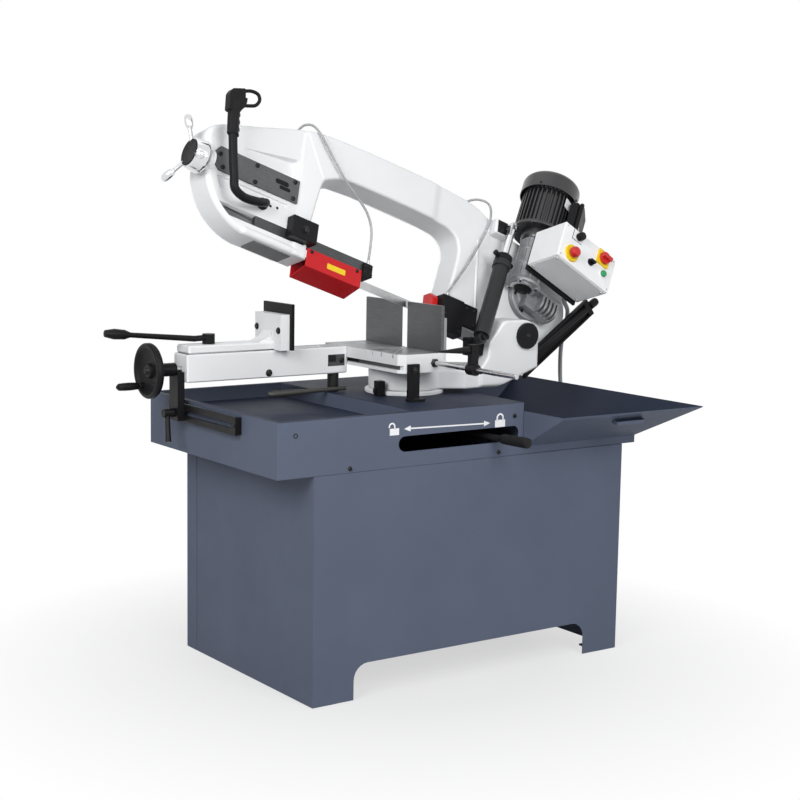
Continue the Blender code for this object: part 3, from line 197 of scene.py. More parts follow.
def finish(name, colour, rough, metal=0.0, mottle=(5.0, 0.05), grain=(700.0, 0.06), coat=0.0, shine=0.5):
    """Coated, cast or moulded surface: colour and gloss vary with the mottle, the grain is a fine bump."""
    made, tree, shader = blank(name)
    skin = node(tree, "Group", {"Mottle Scale": mottle[0], "Grain Scale": grain[0]}, node_tree=SKIN)
    gloss = node(tree, "MapRange", {"Value": skin.outputs["Mottle"], "To Min": rough + GLOSS_SPREAD,
        "To Max": max(rough - GLOSS_SPREAD, 0.03)})
    feed(shader, {"Metallic": metal, "Specular IOR Level": shine, "Coat Weight": coat,
        "Coat Roughness": 0.12, "Base Color": tinted(tree, skin.outputs["Mottle"], colour, mottle[1]),
        "Roughness": gloss.outputs["Result"], "Normal": bumped(tree, skin.outputs["Grain"], grain[1],
        0.001)})
    return made


# Folds: welds a solid's loose faces and shades it smooth up to the angle of its folds.
FOLD_ANGLE = 34
FOLDS, get, put = new_group("folds", "GeometryNodeTree", ("Geometry",), ("Geometry",), "Geometry")
plain = node(FOLDS, "GeometryNodeRemoveAttribute", {"Geometry": get.outputs[0], "Name": "custom_normal"})
weld = node(FOLDS, "GeometryNodeMergeByDistance", {"Geometry": plain.outputs[0], "Distance": 0.00002})
faces = node(FOLDS, "GeometryNodeSetShadeSmooth", {"Geometry": weld.outputs[0]})
angle = node(FOLDS, "GeometryNodeInputMeshEdgeAngle").outputs["Unsigned Angle"]
soft = node(FOLDS, "FunctionNodeCompare", {0: angle, 1: radians(FOLD_ANGLE)}, operation="LESS_THAN")
edges = node(FOLDS, "GeometryNodeSetShadeSmooth", {"Geometry": faces.outputs[0],
    "Shade Smooth": soft.outputs["Result"]}, domain="EDGE")
feed(put, {0: edges.outputs[0]})


def rounded(ob, edge, rounds, sharp=FOLD_ANGLE):
    """A small radius on an object's edges."""
    if edge:
        radius = ob.modifiers.new("Radius", "BEVEL")
        radius.width, radius.segments, radius.limit_method = edge, rounds, "ANGLE"
        radius.angle_limit, radius.harden_normals = radians(sharp), True


def dress(names, material, edge=0.0, rounds=2):
    """CAD solids whose shape is right: smooth rounds, a small radius on their edges and their finish."""
    for name in names.split():
        ob = frame["nodes"][name]
        for slot in ob.material_slots:
            slot.material = material
        ob.modifiers.new("Folds", "NODES").node_group = FOLDS
        rounded(ob, edge, rounds)


CORNER = Matrix.Translation((-0.4955, -0.2915, 0))


def block(x0, x1, y0, y1, z0, z1):
    shape = bmesh.new()
    size = Matrix.Diagonal((x1 - x0, y1 - y0, z1 - z0, 1))
    at = Matrix.Translation(((x0 + x1) / 2, (y0 + y1) / 2, (z0 + z1) / 2))
    bmesh.ops.create_cube(shape, size=1, matrix=at @ size)
    return shape


def solid_mesh(name, shape, material, sharp):
    """A shape as a mesh, smooth up to its sharp edges, with its finish."""
    mesh = bpy.data.meshes.new(name)
    shape.to_mesh(mesh)
    shape.free()
    mesh.shade_smooth()
    mesh.set_sharp_from_angle(angle=radians(sharp))
    mesh.materials.append(material)
    return mesh


def show(name, mesh, body, stands_for=(), turns=None):
    """Puts a mesh in the scene, riding on its body, or, when it is given turns, fixed in place on no body."""
    ob = bpy.data.objects.new(name, mesh)
    scene.collection.objects.link(ob)
    if turns:
        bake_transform(ob)
    else:
        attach(ob, body)
    if stands_for:
        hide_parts(*stands_for)
    return ob


def piece(name, shapes, place, material, body, edge=0.0, rounds=2, stands_for=(),
        sharp=FOLD_ANGLE):
    """One made piece: its shapes together, with rounded edges and its finish."""
    whole = bmesh.new()
    for shape in shapes:
        loose = bpy.data.meshes.new("loose")
        shape.to_mesh(loose)
        shape.free()
        whole.from_mesh(loose)
        bpy.data.meshes.remove(loose)
    whole.transform(place)
    ob = show(name, solid_mesh(name, whole, material, sharp), body, stands_for)
    rounded(ob, edge, rounds, sharp)
    return ob


def slate_coat(name):
    return finish(name, (0.098, 0.116, 0.164), 0.52, mottle=(3.0, 0.05), grain=(900.0, 0.1), shine=0.1)


slate = slate_coat("slate_powder_coat")
dress("cabinet", slate, 0.0022, 3)
CAB_WIDE, CAB_DEEP, CAB_TALL, TRAY_FLOOR, TABLE_TOP = 1.212, 0.782, 0.7, 0.8685, 1.0146
flanges = []
for x0, x1 in ((-0.0012, 0.0005), (CAB_WIDE - 0.0005, CAB_WIDE + 0.0012)):
    flanges += [block(x0, x1, 0.0015, 0.092, 0.002, CAB_TALL - 0.002),
        block(x0, x1, 0.716, CAB_DEEP - 0.0015, 0.002, CAB_TALL - 0.002)]
piece("cabinet_corner_flanges", flanges, CORNER, slate, "base", 0.0005)


# Tray: a deep folded steel tray screwed on the cabinet, with a recess at its left for chips and coolant.
# Its front carries the lock lever's painted signs, button-head screws hold it, and its upward faces take
# painted shade.
def arc(cx, cy, r, a0, a1, n):
    steps = [radians(a0 + (a1 - a0) * i / n) for i in range(n + 1)]
    return [(cx + r * cos(a), cy + r * sin(a)) for a in steps]


def prism(points, axis, a, b):
    """A flat outline pushed from a to b along one axis."""
    spots = {"x": lambda u, v: (a, u, v), "y": lambda u, v: (u, a, v), "z": lambda u, v: (u, v, a)}[axis]
    step = Vector({"x": (b - a, 0, 0), "y": (0, b - a, 0), "z": (0, 0, b - a)}[axis])
    shape = bmesh.new()
    face = shape.faces.new([shape.verts.new(spots(u, v)) for u, v in points])
    grown = bmesh.ops.extrude_face_region(shape, geom=[face])["geom"]
    bmesh.ops.translate(shape, vec=step, verts=[v for v in grown if isinstance(v, bmesh.types.BMVert)])
    bmesh.ops.recalc_face_normals(shape, faces=shape.faces)
    return shape


def turned(profile, at, way, n=56):
    """A lathe-turned shape: (radius, height) points about the way from at."""
    shape = bmesh.new()
    verts = [shape.verts.new((r, 0, z)) for r, z in profile]
    open_ends = profile[0][0] == 0 and profile[-1][0] == 0
    edges = [shape.edges.new((verts[i - 1], verts[i])) for i in range(1 if open_ends else 0, len(verts))]
    bmesh.ops.spin(shape, geom=verts + edges, cent=(0, 0, 0), axis=TO_Z, angle=2 * pi, steps=n,
        use_merge=True)
    bmesh.ops.remove_doubles(shape, verts=shape.verts, dist=1e-6)
    bmesh.ops.recalc_face_normals(shape, faces=shape.faces)
    turn = Vector(way).to_track_quat("Z", "Y").to_matrix().to_4x4()
    shape.transform(Matrix.Translation(at) @ turn)
    return shape


def screw(at, way, r):
    """Button-head screw with a round socket."""
    return turned([(0, 0.25 * r), (0.46 * r, 0.25 * r), (0.46 * r, 0.62 * r), (0.72 * r, 0.6 * r),
        (0.93 * r, 0.38 * r), (r, 0.12 * r), (r, -0.15 * r), (0, -0.15 * r)], at, way, 24)


def cover(shader, socket, share, value):
    """Lays a second value over what feeds a shader's socket."""
    sort, first, second, out = ("RGBA", 6, 7, 2) if socket == "Base Color" else ("FLOAT", 2, 3, 0)
    under = shader.inputs[socket].links[0].from_socket
    mix = node(shader.id_data, "Mix", {0: share, first: under, second: value}, data_type=sort)
    feed(shader, {socket: mix.outputs[out]})


def shade_tops(made, colour):
    """Darkens a paint where it faces up: painted shade on its top faces."""
    tree = made.node_tree
    spot = node(tree, "SeparateXYZ", {0: node(tree, "TexCoord").outputs["Normal"]})
    # Painted shade mask: the darker colour fades in as a face turns upward.
    top_shade = node(tree, "MapRange", {"Value": spot.outputs["Z"], "From Min": 0.25, "From Max": 0.75})
    cover(tree.nodes["Principled BSDF"], "Base Color", top_shade.outputs["Result"], (*colour, 1))
    return made


# Painted shade: the tray's upward faces turn a darker slate.
top_shaded_slate = shade_tops(slate_coat("top_shaded_slate_coat"), (0.019, 0.025, 0.045))
dress("tray", top_shaded_slate, 0.0022, 3)
sign_white = finish("sign_white", (0.8, 0.81, 0.82), 0.5, mottle=(60.0, 0.04))
FACE, INK = 0.0003, -0.0004


def padlock(cx, z0, wide, tall, lifted):
    body = block(cx - wide / 2, cx + wide / 2, INK, FACE, z0, z0 + 0.55 * tall)
    r, low, mid = 0.36 * wide, z0 + 0.5 * tall, cx - lifted
    hoop = arc(mid, low + 0.2 * tall, r, 0, 180, 14)
    inside = arc(mid, low + 0.2 * tall, 0.62 * r, 180, 0, 14)
    legs = [(mid - r, low + (0.12 * tall if lifted else 0)),
        (mid - 0.62 * r, low + (0.12 * tall if lifted else 0))]
    return [body, prism(hoop + legs + inside + [(mid + 0.62 * r, low), (mid + r, low)], "y", INK, FACE)]


signs = padlock(0.2825, 0.801, 0.034, 0.038, 0.009) + padlock(0.688, 0.796, 0.04, 0.042, 0.0)
ARROW_L, ARROW_R, SHAFT, HEAD = 0.318, 0.648, 0.0022, 0.024
signs.append(prism([(ARROW_L, 0.8175), (ARROW_L + HEAD, 0.8265), (ARROW_L + HEAD, 0.8175 + SHAFT),
    (ARROW_R - HEAD, 0.8115 + SHAFT), (ARROW_R - HEAD, 0.8205), (ARROW_R, 0.8115), (ARROW_R - HEAD, 0.8025),
    (ARROW_R - HEAD, 0.8115 - SHAFT), (ARROW_L + HEAD, 0.8175 - SHAFT), (ARROW_L + HEAD, 0.8085)], "y", INK,
    FACE))
piece("lock_lever_signs", signs, CORNER, sign_white, "base")
screw_black = finish("black_oxide_screws", (0.02, 0.02, 0.021), 0.36, 0.6, mottle=(90.0, 0.25),
    grain=(1500.0, 0.1))


def screws(name, spots, way, r, place, body):
    """A set of black button-head screws."""
    piece(name, [screw(at, way, r) for at in spots], place, screw_black, body)


screws("tray_screws", [(0.124, 0, 0.713), (0.685, 0, 0.716), (0.746, 0, 0.827)], FROM_Y, 0.007, CORNER,
    "base")
piece("tray_drain_eye", [turned([(0.0045, 0.0008), (0.0075, 0.0008), (0.0075, -0.001), (0, -0.001),
    (0, -0.0004), (0.0045, -0.0004)], (-0.066, 0, 0.826), FROM_Y, 28)], CORNER, screw_black, "base")


# Chip pan and coolant unit: the pan is folded from sheet and hooks on the tray's end.
# Its rim slopes outwards, and a pull tab is bent out of its front. Tank and pump stand in the cabinet.
# The chip pan's upward faces take the same painted shade as the tray's top.
dress("chip_pan", top_shaded_slate, 0.0008)
dress("coolant_tank", slate, 0.001)
moulded = finish("black_moulding", (0.008, 0.008, 0.009), 0.4, mottle=(20.0, 0.1), grain=(1400.0, 0.22),
    shine=0.12)
dress("coolant_pump", moulded, 0.003, 3)


# Slotted plate on the tray's left end: a black steel bar on two spacers, in which the vise's clamp slides.
# It is cut from flat bar, milled, painted and screwed on from outside.
black = finish("black_paint", (0.009, 0.009, 0.01), 0.36, mottle=(12.0, 0.15), grain=(700.0, 0.14),
    shine=0.12)
dress("slot_plate", black, 0.001)
screws("slot_plate_screws", [(-0.148, y, 0.832) for y in (0.215, 0.618)], FROM_X, 0.005, CORNER, "base")


# Turntable and work table: iron castings in white enamel, the table's top ground bare.
# Kerfs for the stop angles are milled across the table, and its edge carries the vise's T-slot.
BRUSHED, get, put = new_group("brushed", "ShaderNodeTree", (), ("Streak", "Stain"))
BRUSHED.interface.new_socket("Stretch", in_out="INPUT", socket_type="NodeSocketVector")
where = node(BRUSHED, "TexCoord").outputs["Object"]
drawn = node(BRUSHED, "VectorMath", {0: where, 1: get.outputs["Stretch"]}, operation="MULTIPLY")
for name, spot, scale, detail in (("Streak", drawn.outputs[0], 1.0, 3), ("Stain", where, 14.0, 5)):
    noise = node(BRUSHED, "TexNoise", {"Vector": spot, "Scale": scale, "Detail": detail})
    feed(put, {name: noise.outputs["Fac"]})


def brushed(tree, stretch):
    """Long fine streaks of grinding or turning, drawn out by the stretch, and broad stains."""
    lines = node(tree, "Group", {"Stretch": stretch}, node_tree=BRUSHED)
    return lines.outputs["Streak"], lines.outputs["Stain"]


def ground(name, colour, rough, stretch, metal=1.0, depth=0.1, contrast=0.25):
    """Bare machined metal: streaks and stains vary its colour and gloss."""
    made, tree, shader = blank(name)
    streak, stain = brushed(tree, stretch)
    both = node(tree, "Math", {0: stain, 1: 0.5, 2: streak}, operation="MULTIPLY_ADD")
    even = node(tree, "MapRange", {"Value": both.outputs[0], "From Min": 0.45, "From Max": 1.05})
    gloss = node(tree, "MapRange", {"Value": stain, "To Min": rough - 0.08, "To Max": rough + 0.1})
    feed(shader, {"Metallic": metal, "Base Color": tinted(tree, even.outputs["Result"], colour, contrast),
        "Roughness": gloss.outputs["Result"], "Normal": bumped(tree, streak, depth, 0.0006)})
    return made


def ground_top(made, level, colour):
    """Bares the enamel to ground iron above a level: the machined top of a casting."""
    tree = made.node_tree
    shader = tree.nodes["Principled BSDF"]
    spot = node(tree, "SeparateXYZ", {0: node(tree, "TexCoord").outputs["Object"]})
    over = node(tree, "Math", {0: spot.outputs["Z"], 1: level}, operation="GREATER_THAN").outputs[0]
    streak, stain = brushed(tree, (900.0, 16.0, 40.0))
    dull, bright = ((*(share * c for c in colour), 1) for share in (0.75, 1.3))
    bare = node(tree, "Mix", {0: streak, 6: dull, 7: bright}, data_type="RGBA")
    cover(shader, "Base Color", over, bare.outputs[2])
    cover(shader, "Roughness", over, stain)
    feed(shader, {"Metallic": over})
    return made


def white_enamel(name):
    return finish(name, (0.78, 0.79, 0.8), 0.42, mottle=(4.0, 0.02), grain=(300.0, 0.09), coat=0.1)


GROUND_IRON = (0.3, 0.31, 0.32)
white = white_enamel("white_casting_enamel")
table_finish = ground_top(white_enamel("ground_table_enamel"), TABLE_TOP, GROUND_IRON)
dress("turntable_base", white, 0.0015)
dress("work_table", table_finish, 0.0012)
# Dark zinc grey: the vise bed's plated plate, and in the T-slot bare iron with painted shade.
zinc_and_slot_shade = finish("dark_zinc_plate_and_slot_shade", (0.085, 0.086, 0.09), 0.42, 0.4, mottle=(30.0, 0.12), grain=(700.0, 0.12),
    shine=0.3)
SLOT_IN, SLOT_DEEP, SLOT_LOW, SLOT_HIGH = 0.4573, 0.4588, 0.9652, 0.9788
# Two thin strips line the T-slot's bottom: bare iron and the vise's black slot nut, darkened as painted shade
# of the slot's depth.
piece("table_slot_dark_lining", [block(SLOT_IN, SLOT_DEEP, 0.224, 0.455, SLOT_LOW, SLOT_HIGH)], CORNER, zinc_and_slot_shade,
    "base", edge=0.0003)
piece("table_slot_nut", [block(SLOT_IN, SLOT_DEEP, 0.4553, 0.62, SLOT_LOW, SLOT_HIGH)], CORNER, black,
    "base", edge=0.0003)
dress("table_bracket", black, 0.0012)
AX, AY = 0.6, 0.4


def hex_bolt(at, way, r):
    """Hexagon head on its washer."""
    head = turned([(0, 0.72 * r), (0.8 * r, 0.72 * r), (r, 0.6 * r), (r, 0.1 * r), (0, 0.1 * r)], at, way,
        6)
    return [head, turned([(0, 0.14 * r), (1.3 * r, 0.14 * r), (1.3 * r, -0.1 * r), (0, -0.1 * r)], at, way,
        28)]


piece("table_bracket_bolts", hex_bolt((0.489, 0.1877, 0.966), FROM_Y, 0.0085)
    + hex_bolt((0.489, 0.1785, 0.8763), TO_Z, 0.006), CORNER, screw_black, "base")
piece("turntable_stop_block", [block(0.451, 0.478, 0.332, 0.359, TRAY_FLOOR, 0.917),
    block(0.441, 0.452, 0.34, 0.35, 0.878, 0.894)], CORNER, black, "base", 0.002)


# Fence: two ground steel plates on the table's back rib, parted at the blade's line.
# They are surface ground and oiled, so their grain runs level.
fence_steel = ground("dark_ground_steel", (0.115, 0.117, 0.122), 0.38, (40.0, 14.0, 800.0), 0.85)
dress("fence_front fence_rear", fence_steel, 0.0008)


# Turntable lock lever: a steel rod from the spindle under the tray out through the front slot.
# Its rubber grip is moulded with rings and pressed on the rod's end.
SPIN, LOCK_OUT, LOCK_TURN = Vector((AX, AY, 0.765)), 0.557, radians(8.6)


def bar(p, q, r, n=40):
    """A round bar from p to q."""
    p, q = Vector(p), Vector(q)
    shape = bmesh.new()
    turn = (q - p).to_track_quat("Z", "Y").to_matrix().to_4x4()
    bmesh.ops.create_cone(shape, cap_ends=True, segments=n, radius1=r, radius2=r, depth=(q - p).length,
        matrix=Matrix.Translation((p + q) / 2) @ turn)
    return shape


lock_way = Vector((sin(LOCK_TURN), -cos(LOCK_TURN), 0))
ringed_grip = [(0, 0.0), (0.012, 0.0), (0.0145, 0.004)]
for i in range(8):
    ringed_grip += [(0.0146 + 0.0002 * i, 0.01 + 0.011 * i), (0.0158 + 0.0002 * i, 0.0125 + 0.011 * i),
        (0.0158 + 0.0002 * i, 0.0175 + 0.011 * i)]
ringed_grip += [(0.0165, 0.1), (0.0168, 0.108), (0.015, 0.1135), (0.008, 0.1155), (0, 0.116)]
rubber = finish("black_rubber", (0.01, 0.01, 0.011), 0.6, mottle=(25.0, 0.12), grain=(900.0, 0.25),
    shine=0.15)
piece("turntable_lock_lever", [bar(SPIN + Vector((0, 0, -0.024)), SPIN + Vector((0, 0, 0.024)), 0.032),
    bar(SPIN, SPIN + Vector((0, 0, 0.17)), 0.012), bar(SPIN, SPIN + (LOCK_OUT - 0.1) * lock_way, 0.01),
    turned(ringed_grip, SPIN + (LOCK_OUT - 0.1155) * lock_way, lock_way, 40)], CORNER, rubber, "lock_lever",
    0.0008, stands_for=("mitre_lever",))


# Length stop: a bright drawn rod screwed in the table's front, with a clamped black bracket.
# The bracket's finger is a turned pin that the bar's end meets.
drawn_steel = ground("bright_drawn_steel", (0.56, 0.57, 0.58), 0.26, (700.0, 12.0, 700.0), contrast=0.15)
dress("stop_rod", drawn_steel, 0.001)
dress("stop_bracket", black, 0.001)
dress("stop_finger", black, 0.0006)
piece("stop_rod_nut", [turned([(0, 0.009), (0.0125, 0.009), (0.0145, 0.007), (0.0145, 0.0003), (0, 0.0003)],
    (0.575, 0.1997, 0.984), FROM_Y, 6)], CORNER, screw_black, "base")


# Vise: a white cast bed that slides along the T-slot, with a jaw on its top driven by a screw and handwheel.
# The bed's top is ground, the jaw has a black steel plate, and a bracket clamps the bed to the slotted plate.
bed_finish = ground_top(white_enamel("ground_bed_enamel"), TABLE_TOP, GROUND_IRON)
dress("vise_bed", bed_finish, 0.002, 3)
dress("vise_jaw", white, 0.003, 3)
dress("jaw_plate", ground("black_jaw_steel", (0.012, 0.012, 0.013), 0.4, (40.0, 14.0, 500.0), 0.95), 0.0008)
dress("vise_screw", drawn_steel)
dress("vise_bracket", black, 0.0015)
dress("vise_clamp quick_lever", black, 0.001)
VISE_Y, SCREW_Z, WHEEL_X = 0.549, 0.967, -0.257
bed_front = VISE_Y - 0.045
piece("vise_bed_plate", [block(0.368, 0.433, bed_front - 0.0004, bed_front + 0.002, 0.952, 0.99)], CORNER,
    zinc_and_slot_shade, "vise", edge=0.0004)
piece("vise_bed_fittings", [block(0.37, 0.399, bed_front - 0.0012, bed_front, 0.966, 0.988),
    screw((0.4215, bed_front - 0.0004, 0.97), FROM_Y, 0.0092),
    prism(arc(0.405, 0.53, 0.019, 0, 360, 28)[:-1], "z", TRAY_FLOOR, 0.9275)]
    + hex_bolt((0.145, bed_front, 0.943), FROM_Y, 0.009), CORNER, screw_black, "vise", edge=0.0005)
piece("jaw_bolts", hex_bolt((0.166, 0.616, 1.083), FROM_X, 0.0085) + hex_bolt((0.166, 0.482, 1.079), FROM_X,
    0.0085), CORNER, screw_black, "jaw")
olive = finish("worn_grey_paint", (0.036, 0.036, 0.032), 0.45, mottle=(18.0, 0.18), grain=(600.0, 0.15))
piece("vise_lock_handle",
    [turned([(0, 0), (0.007, 0.001), (0.0072, 0.13), (0.009, 0.172), (0.0105, 0.19), (0.0112, 0.23),
    (0.0112, 0.28), (0.0095, 0.292), (0.006, 0.296), (0, 0.297)], (0.43, 0.492, 0.8785),
    (-0.294, -0.004, -0.003), 36)], CORNER, olive, "vise", edge=0.0006)
RIM = 0.086
dish = [(0.0103, -0.018), (0.021, -0.018), (0.0225, -0.0165), (0.0245, -0.0125), (0.045, -0.011),
    (0.06, -0.0075), (RIM - 0.013, -0.0105), (RIM - 0.009, -0.0122), (RIM - 0.003, -0.0105), (RIM, -0.006),
    (RIM, 0.006), (RIM - 0.002, 0.0092), (RIM - 0.006, 0.0112), (RIM - 0.011, 0.0108),
    (RIM - 0.016, 0.0075), (RIM - 0.021, 0.0015), (0.058, -0.002), (0.045, -0.0055), (0.03, -0.0072),
    (0.0235, -0.0062), (0.0215, 0.002), (0.0195, 0.0048), (0.012, 0.0056), (0.0103, 0.005)]
grip_turn = radians(310)
grip_at = Vector((WHEEL_X, VISE_Y + 0.066 * cos(grip_turn), SCREW_Z + 0.066 * sin(grip_turn)))
piece("handwheel_dish", [turned(dish, (WHEEL_X, VISE_Y, SCREW_Z), FROM_X, 96),
    turned([(0, 0.0134), (0.0085, 0.0134), (0.011, 0.011), (0.0115, -0.004), (0, -0.004)], grip_at, FROM_X,
    32), turned([(0, 0.0138), (0.0085, 0.0138), (0.0098, 0.0126), (0.0098, 0.003), (0, 0.003)],
    (WHEEL_X, VISE_Y, SCREW_Z), FROM_X, 36), bar(grip_at - Vector((0.001, 0, 0)),
    grip_at - Vector((0.088, 0, 0)), 0.005)], CORNER, moulded, "crank",
    stands_for=("handwheel",))
piece("handwheel_sleeve",
    [turned([(0.0053, 0.0135), (0.009, 0.0135), (0.0105, 0.016), (0.0118, 0.03), (0.0125, 0.045),
    (0.0122, 0.065), (0.0112, 0.08), (0.009, 0.0838), (0.0053, 0.084)], grip_at, FROM_X, 40)], CORNER,
    moulded, "crank_grip", stands_for=("handwheel_grip",))


# Swivel arm: one heavy white casting from the turntable's drum to the ear that carries the bow's pin.
# Its corners run out in cast fillets, a black cap closes the pin, and a tube holds the return spring.
def cast_copy(solid, name, grain, passes, body, material):
    """The CAD solid's own mesh, remeshed fine and eased, so that its corners round as a casting's do."""
    loose = bpy.data.objects.new(name, frame["nodes"][solid].data.copy())
    scene.collection.objects.link(loose)
    weld = loose.modifiers.new("Weld", "WELD")
    weld.merge_threshold = 0.00002
    voxels = loose.modifiers.new("Cast", "REMESH")
    voxels.mode, voxels.voxel_size = "VOXEL", grain
    ease = loose.modifiers.new("Ease", "SMOOTH")
    ease.factor, ease.iterations = 0.5, passes
    cast = bpy.data.meshes.new_from_object(loose.evaluated_get(bpy.context.evaluated_depsgraph_get()))
    bpy.data.objects.remove(loose, do_unlink=True)
    cast.shade_smooth()
    cast.materials.clear()
    cast.materials.append(material)
    return show(name, cast, body, (solid,))


cast_copy("swivel_arm", "swivel_arm_casting", 0.0035, 10, "swivel", white)
PX, PZ = 0.985, 1.05
dress("pivot_pin", black, 0.0025, 3)
piece("pivot_cap_mark", [turned([(0, 0.0012), (0.006, 0.0012), (0.0075, 0.0004), (0.0075, -0.001),
    (0, -0.001)], (PX, 0.228, PZ), FROM_Y, 32)], CORNER, screw_black, "swivel")
dress("spring_arm cylinder_bracket", black, 0.0015)
spring_foot, spring_tip = Vector((PX + 0.058, 0.311, PZ - 0.09)), Vector((PX + 0.343, 0.311, PZ + 0.081))
spring_way = (spring_tip - spring_foot).normalized()
piece("spring_tube", [bar(spring_foot + 0.02 * spring_way, spring_tip - 0.023 * spring_way, 0.0125, n=32)],
    CORNER, black, "swivel", 0.002)
piece("spring_bolt_cap", [turned([(0, 0), (0.012, 0), (0.0145, 0.003), (0.0145, 0.026), (0.0125, 0.034),
    (0.007, 0.0385), (0, 0.0395)], spring_tip + 0.0015 * spring_way + Vector((0, 0.003, 0)), spring_way,
    36)], CORNER, black, "swivel")


# Feed cylinder: a dark grey hydraulic check cylinder between the ear and the bow, with a chromed rod.
# A valve clamp sits round its head, and a square eye joins its rod to the bow's lug.
BOW_TILT, BOW_LEAN = radians(20.3), radians(18.0)
along_bow = Vector((-cos(BOW_TILT), 0, sin(BOW_TILT)))
upright = Vector((sin(BOW_TILT), 0, cos(BOW_TILT)))
back = Vector(TO_Y)
across_bow = cos(BOW_LEAN) * upright + sin(BOW_LEAN) * back
bow_front = sin(BOW_LEAN) * upright - cos(BOW_LEAN) * back
bow_zero = Matrix((along_bow, bow_front, across_bow)).transposed().to_4x4()
bow_zero.translation = Vector((PX, AY, PZ)) - 0.0315 * upright
BOW = CORNER @ bow_zero
cyl_foot, cyl_head = Vector((PX - 0.198, 0.235, PZ - 0.001)), bow_zero @ Vector((0.052, 0.101, 0.372))
cyl_way = (cyl_head - cyl_foot).normalized()
cyl_side = cyl_way.cross(Vector(TO_Y)).normalized()
cylinder_grey = finish("cylinder_grey_paint", (0.02, 0.021, 0.022), 0.34, 0.2, mottle=(10.0, 0.1),
    coat=0.05, shine=0.25)
chrome = ground("hard_chrome", (0.72, 0.73, 0.74), 0.12, (300.0, 300.0, 20.0), depth=0.02, contrast=0.06)
dress("feed_cylinder", cylinder_grey, 0.0015)
dress("feed_rod", chrome, 0.0008)
head_clamp = cyl_foot + 0.328 * cyl_way
piece("cylinder_valve_clamp",
    [turned([(0.0268, 0), (0.0285, 0), (0.0298, 0.0015), (0.0298, 0.0205), (0.0285, 0.022),
    (0.0268, 0.022)], head_clamp, cyl_way, 56), bar(head_clamp + 0.011 * cyl_way + 0.026 * cyl_side,
    head_clamp + 0.011 * cyl_way + 0.046 * cyl_side, 0.009),
    turned([(0, 0.016), (0.009, 0.016), (0.0105, 0.014), (0.0105, 0.002), (0.009, 0), (0, 0)],
    head_clamp + 0.011 * cyl_way - 0.028 * cyl_side, -cyl_side, 28)], CORNER, black, "cylinder",
    0.0006)
eye = block(-0.0125, 0.0125, -0.0105, 0.0105, -0.04, 0.016)
eye.transform(Matrix.Translation(cyl_head)
    @ Matrix((cyl_side, cyl_way.cross(cyl_side), cyl_way)).transposed().to_4x4())
piece("feed_rod_eye", [eye], CORNER, drawn_steel, "piston", 0.0025, 3)


# Bow: one white iron casting, a beam between two wheel housings, open to the work in the middle.
# Its face is cast with a raised beam, scoops and a bar recess; the rounded edges are cast, not machined.
EDGE_STEP, STRAIGHT_STEP = 0.006, 0.01


def curve_through(points, steps=None, even=0.5):
    """Points on a smooth curve through the given ones."""
    spots = [Vector(p) for p in points]
    ends = [2 * spots[0] - spots[1]] + spots + [2 * spots[-1] - spots[-2]]
    out = []
    for a, b, c, d in zip(ends, ends[1:], ends[2:], ends[3:]):
        k = [0.0]
        for p, q in ((a, b), (b, c), (c, d)):
            k.append(k[-1] + max((q - p).length, 1e-9) ** even)
        count = steps or max(1, round((c - b).length / EDGE_STEP))
        for i in range(count):
            t = k[1] + (k[2] - k[1]) * i / count
            ab = a.lerp(b, t / k[1])
            bc = b.lerp(c, (t - k[1]) / (k[2] - k[1]))
            cd = c.lerp(d, (t - k[2]) / (k[3] - k[2]))
            out.append(ab.lerp(bc, t / k[2]).lerp(bc.lerp(cd, (t - k[1]) / (k[3] - k[1])),
                (t - k[1]) / (k[2] - k[1])))
    return out + [spots[-1]]


def straight(p, q):
    p, q = Vector(p), Vector(q)
    n = max(1, round((q - p).length / STRAIGHT_STEP))
    return [p.lerp(q, i / n) for i in range(1, n + 1)]


def inset(loop, depths):
    """A counter-clockwise loop moved inwards by each point's depth, with mitred corners."""
    out = []
    for i, p in enumerate(loop):
        a, b = (p - loop[i - 1]).normalized(), (loop[(i + 1) % len(loop)] - p).normalized()
        m, n = Vector((-a.y, a.x)), Vector((-b.y, b.x))
        out.append(p + depths[i] * (m + n) / max(1 + m.dot(n), 0.25))
    return out


def eased_corners(points, r, n=6):
    """A polygon with its corners rounded; points in a straight run stay."""
    out = []
    spots = [Vector(p) for p in points]
    for i, p in enumerate(spots):
        a, b = (spots[i - 1] - p).normalized(), (spots[(i + 1) % len(spots)] - p).normalized()
        if a.dot(b) < -0.98:
            out.append(p)
            continue
        p0, p1 = p + r * a, p + r * b
        out += [p0.lerp(p, t).lerp(p.lerp(p1, t), t) for t in (k / n for k in range(n + 1))]
    return out


def inside(loop, p):
    odd = False
    for i, a in enumerate(loop):
        b = loop[i - 1]
        if (a.y > p.y) != (b.y > p.y) and p.x < (b.x - a.x) * (p.y - a.y) / (b.y - a.y) + a.x:
            odd = not odd
    return odd


def skin(shape, outer, holes, lines, height):
    """Closes a loop with flat triangles round its holes, keeping the given lines as folds."""
    spots, edges = [], list(lines)
    for loop in [outer] + holes:
        first = len(spots)
        spots += loop
        edges += [(first + i, first + (i + 1) % len(loop)) for i in range(len(loop))]
    made = geometry.delaunay_2d_cdt(spots, edges, [], 0, 1e-7)
    verts = [shape.verts.new((p.x, height(p), p.y)) for p in made[0]]
    for tri in made[2]:
        middle = sum((made[0][i] for i in tri), Vector((0, 0))) / len(tri)
        if inside(outer, middle) and not any(inside(h, middle) for h in holes):
            shape.faces.new([verts[i] for i in tri])


def strip(shape, low, high):
    for i in range(len(low)):
        shape.faces.new((low[i - 1], low[i], high[i], high[i - 1]))


